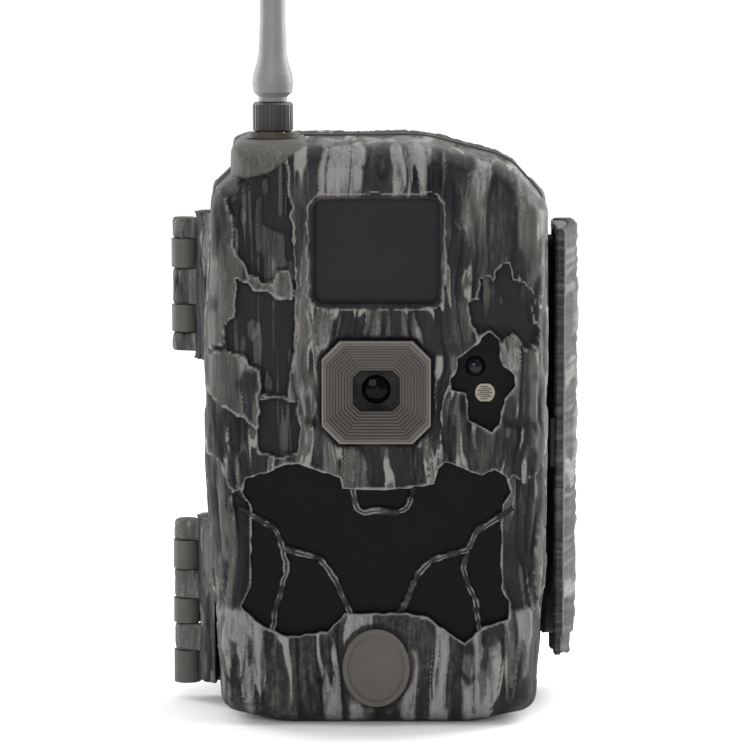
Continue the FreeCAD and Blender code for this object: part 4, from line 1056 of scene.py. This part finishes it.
def bark_material(name, warmth, brushing=(1.0, 1.0, 0.11)):
    """Moulded bark: charcoal in the furrows, taupe on the ridges, pale where edges are rubbed."""
    material, tree, shader = new_material(name)
    relief, tone, worn = (attribute_node(tree, name) for name in ("relief", "tone", "wear"))
    broad = noise_node(tree, 160.0, 4.0, 0.6, (1.0, 1.0, 0.30))
    brushed = noise_node(tree, 1050.0, 3.0, 0.65, brushing)
    speckle = noise_node(tree, 1700.0, 2.0, 0.6)
    level = map_range(tree, relief, -0.95, 0.55, 0.0, 0.71)
    for field, share in ((broad, 0.38), (brushed, 0.75), (speckle, 0.25)):
        level = wavering(tree, level, field, share)
    level = math_node(tree, "ADD", level, math_node(tree, "MULTIPLY", tone, 0.42))
    stops = [
        (0.0, (0.0045, 0.0040, 0.0052)), (0.21, (0.0095, 0.0087, 0.0108)), (0.33, (0.020, 0.0185, 0.0195)),
        (0.43, (0.040, 0.0375, 0.0345)), (0.59, (0.062, 0.0585, 0.0535)), (0.72, (0.080, 0.0765, 0.071)),
        (1.0, (0.190, 0.186, 0.186)),
    ]
    warmed = [(place, tuple(c * w for c, w in zip(colour, warmth))) for place, colour in stops]
    rubbed = map_range(tree, wavering(tree, worn, speckle, 0.5), 0.30, 0.90, 0.0, 0.90)
    paint = ramp_node(tree, level, warmed)
    feed(shader, "Base Color", mix_colour(tree, rubbed, paint, (0.215, 0.210, 0.197)))
    feed(shader, "Roughness", map_range(tree, brushed, 0.3, 0.7, 0.52, 0.74))
    feed(shader, "Specular IOR Level", 0.22)
    texture = math_node(tree, "ADD", brushed, math_node(tree, "MULTIPLY", speckle, 0.4))
    bump(tree, shader, texture, 0.55, 0.0003)
    return material


def bezel_material():
    """Taupe moulding whose step edges carry a painted highlight and whose step feet carry painted shade."""
    material, tree, shader = new_material("bezel moulding")
    fine = noise_node(tree, 2600.0, 2.0, 0.5)
    level = wavering(tree, attribute_node(tree, "shade"), fine, 0.2)
    stops = [(0.0, (0.006, 0.006, 0.007)), (0.12, (0.016, 0.015, 0.015)), (0.5, (0.060, 0.054, 0.048)),
             (0.7, (0.072, 0.065, 0.057)), (1.0, (0.150, 0.140, 0.128))]
    feed(shader, "Base Color", ramp_node(tree, level, stops))
    feed(shader, "Roughness", map_range(tree, fine, 0.2, 0.8, 0.45, 0.6))
    feed(shader, "Specular IOR Level", 0.3)
    bump(tree, shader, fine, 0.4, 0.00004)
    return material


def plain_material(name, colour, roughness, grain_scale=2600.0, grain_depth=0.00004, mottle=0.12,
                   metallic=0.0, specular=0.5, coat=0.0):
    """Moulded or plated surface with fine grain and slight mottling."""
    material, tree, shader = new_material(name)
    cloud = noise_node(tree, 130.0, 3.0, 0.6)
    fine = noise_node(tree, grain_scale, 2.0, 0.5)
    dark = tuple(c * (1 - mottle) for c in colour)
    light = tuple(min(1.0, c * (1 + mottle)) for c in colour)
    smoothest = max(0.03, roughness - 0.08)
    roughest = min(1.0, roughness + 0.08)
    feed(shader, "Base Color", ramp_node(tree, cloud, [(0.3, dark), (0.7, light)]))
    feed(shader, "Roughness", map_range(tree, fine, 0.25, 0.75, smoothest, roughest))
    feed(shader, "Metallic", metallic)
    feed(shader, "Specular IOR Level", specular)
    feed(shader, "Coat Weight", coat)
    bump(tree, shader, fine, 0.4, grain_depth)
    return material


BARK = bark_material("moulded bark", (1.0, 1.0, 1.0))
LATCH = bark_material("latch bark", (1.75, 1.75, 1.78), (0.10, 0.10, 1.0))
BEZEL = bezel_material()
PLAIN = plain_material("taupe moulding", (0.072, 0.066, 0.058), 0.55, specular=0.3)
TRACK = plain_material("sensor track", (0.055, 0.042, 0.030), 0.4)

GLOSSY = (400.0, 0.000005, 0.1)
PLATED = (2600.0, 0.00001, 0.08)
MATERIALS = {
    "bark_plastic": plain_material("rear moulding", (0.078, 0.074, 0.068), 0.6, specular=0.3),
    "plain_plastic": PLAIN,
    "black_plastic": plain_material("black moulding", (0.010, 0.010, 0.011), 0.55, specular=0.3),
    "black_window": plain_material("black window", (0.002, 0.002, 0.002), 0.35, 900.0, 0.00001, 0.1,
                                   specular=0.08),
    "motion_window": plain_material("motion window", (0.0105, 0.0105, 0.0125), 0.5, 1800.0, 0.00002, 0.1,
                                    specular=0.15),
    "board": plain_material("solder mask", (0.012, 0.055, 0.030), 0.35, 1400.0, 0.00002),
    "chip_black": plain_material("moulded chip", (0.018, 0.018, 0.020), 0.5),
    "display_glass": plain_material("display face", (0.012, 0.014, 0.020), 0.15, *GLOSSY, coat=0.5),
    "led_epoxy": plain_material("diode epoxy", (0.10, 0.10, 0.13), 0.12, *GLOSSY, coat=0.6),
    "dome_black": plain_material("black dome", (0.006, 0.006, 0.008), 0.10, *GLOSSY, specular=0.2),
    "sensor_ceramic": plain_material("sensor ceramic", (0.25, 0.23, 0.19), 0.35),
    "steel": plain_material("zinc plate", (0.42, 0.42, 0.44), 0.32, *PLATED, metallic=1.0),
    "black_steel": plain_material("blackened steel", (0.03, 0.03, 0.032), 0.42, 2600.0, 0.00001, 0.1,
                                  metallic=0.6),
    "brass": plain_material("brass", (0.62, 0.44, 0.17), 0.30, *PLATED, metallic=1.0),
    "gold": plain_material("gold plate", (0.80, 0.56, 0.20), 0.22, 2600.0, 0.000005, 0.05, metallic=1.0),
    "rubber": plain_material("rubber", (0.012, 0.012, 0.012), 0.75, 1800.0, 0.00005),
    "antenna_plastic": plain_material("antenna sleeve", (0.030, 0.029, 0.0285), 0.45),
    "button_plastic": plain_material("button", (0.035, 0.035, 0.040), 0.5),
    "cell_jacket": plain_material("cell jacket", (0.03, 0.05, 0.09), 0.25, 900.0, 0.00001, 0.1, coat=0.4),
    "card_plastic": plain_material("card", (0.02, 0.022, 0.05), 0.4),
}


def glass_material(name, tint, roughness):
    material, tree, shader = new_material(name)
    feed(shader, "Transmission Weight", 1.0)
    feed(shader, "IOR", 1.5)
    cloud = noise_node(tree, 200.0)
    pale = tuple(min(1.0, c * 1.1) for c in tint)
    feed(shader, "Base Color", ramp_node(tree, cloud, [(0.0, tint), (1.0, pale)]))
    feed(shader, "Roughness", map_range(tree, cloud, 0.0, 1.0, roughness, roughness + 0.03))
    return material


MATERIALS["clear_glass"] = plain_material("coated lens", (0.002, 0.002, 0.003), 0.06, 400.0, 0.000002, 0.1,
                                          specular=0.08)
MATERIALS["clear_cover"] = glass_material("clear cover", (0.85, 0.90, 0.92), 0.03)

WHIP = plain_material("antenna whip", (0.165, 0.165, 0.165), 0.5)

for subpart in frame["record"]["subparts"]:
    shown = nodes[subpart["node"]]
    shown.data.materials.clear()
    shown.data.materials.append(MATERIALS[subpart["material_slot"]])
nodes["antenna_whip"].data.materials[0] = WHIP


# ---- floor, light and camera


def floor():
    mesh = bpy.data.meshes.new("floor")
    half = 6.0
    corners = [(-half, -half, 0), (half, -half, 0), (half, half, 0), (-half, half, 0)]
    mesh.from_pydata(corners, [], [(0, 1, 2, 3)])
    material, tree, shader = new_material("pale floor")
    cloud = noise_node(tree, 3.0)
    feed(shader, "Base Color", ramp_node(tree, cloud, [(0.0, (0.88, 0.88, 0.88)), (1.0, (0.92, 0.92, 0.92))]))
    feed(shader, "Roughness", 0.9)
    mesh.materials.append(material)
    piece = new_object("floor", mesh)


def area_light(name, place, target, size, power):
    data = bpy.data.lights.new(name, "AREA")
    data.shape = "RECTANGLE"
    data.size, data.size_y = size
    data.energy = power
    lamp = new_object(name, data)
    lamp.location = place
    lamp.rotation_euler = (Vector(target) - Vector(place)).to_track_quat("-Z", "Y").to_euler()


def studio():
    world = bpy.data.worlds.new("studio")
    world.use_nodes = True
    tree = world.node_tree
    background = tree.nodes["Background"]
    # a bright studio wall behind and above, darker toward the side that the front faces
    place = node(tree, "ShaderNodeTexCoord")
    split = node(tree, "ShaderNodeSeparateXYZ")
    tree.links.new(place.outputs["Generated"], split.inputs["Vector"])
    depth = map_range(tree, split.outputs["Y"], -0.6, 0.5, 0.0, 1.0)
    feed(background, "Color", ramp_node(tree, depth, [(0.0, (0.22, 0.22, 0.23)), (1.0, (1.0, 1.0, 1.0))]))
    feed(background, "Strength", 1.05)
    bpy.context.scene.world = world
    middle = (0.0, 0.0, 0.08)
    area_light("right_back", (0.55, 0.30, 0.30), middle, (0.3, 0.7), 7.0)
    area_light("left_back", (-0.55, 0.30, 0.30), middle, (0.3, 0.7), 4.0)
    area_light("front_fill", (-0.25, -0.80, 0.45), middle, (0.5, 0.5), 3.0)
    area_light("high_spark", (-0.13, -0.82, 0.50), middle, (0.02, 0.02), 0.35)
    area_light("low_spark", (0.06, -0.86, 0.11), middle, (0.02, 0.02), 0.25)
    sun = bpy.data.lights.new("overhead", "SUN")
    sun.energy = 1.6
    sun.angle = math.radians(50.0)
    lamp = new_object("overhead", sun)
    lamp.rotation_euler = Vector((0.25, 0.10, 1.0)).to_track_quat("Z", "Y").to_euler()
    bpy.context.scene.view_settings.view_transform = "Standard"


def camera():
    distance = 0.9
    elevation = math.radians(7.0)
    target = Vector((-0.0003, -0.034, 0.0865))
    data = bpy.data.cameras.new("camera")
    data.sensor_width = 36.0
    data.lens = 177.4
    viewer = new_object("camera", data)
    viewer.location = target + Vector((0, -distance * math.cos(elevation), distance * math.sin(elevation)))
    viewer.rotation_euler = (target - viewer.location).to_track_quat("-Z", "Y").to_euler()
    bpy.context.scene.camera = viewer


front_bark()
window_twigs()
hinge_lobes()
rear_bark()
latch()
latch_nose()
latch_shade_rib()
lens_bezel()
light_sensor_tracks()
floor()
studio()
camera()
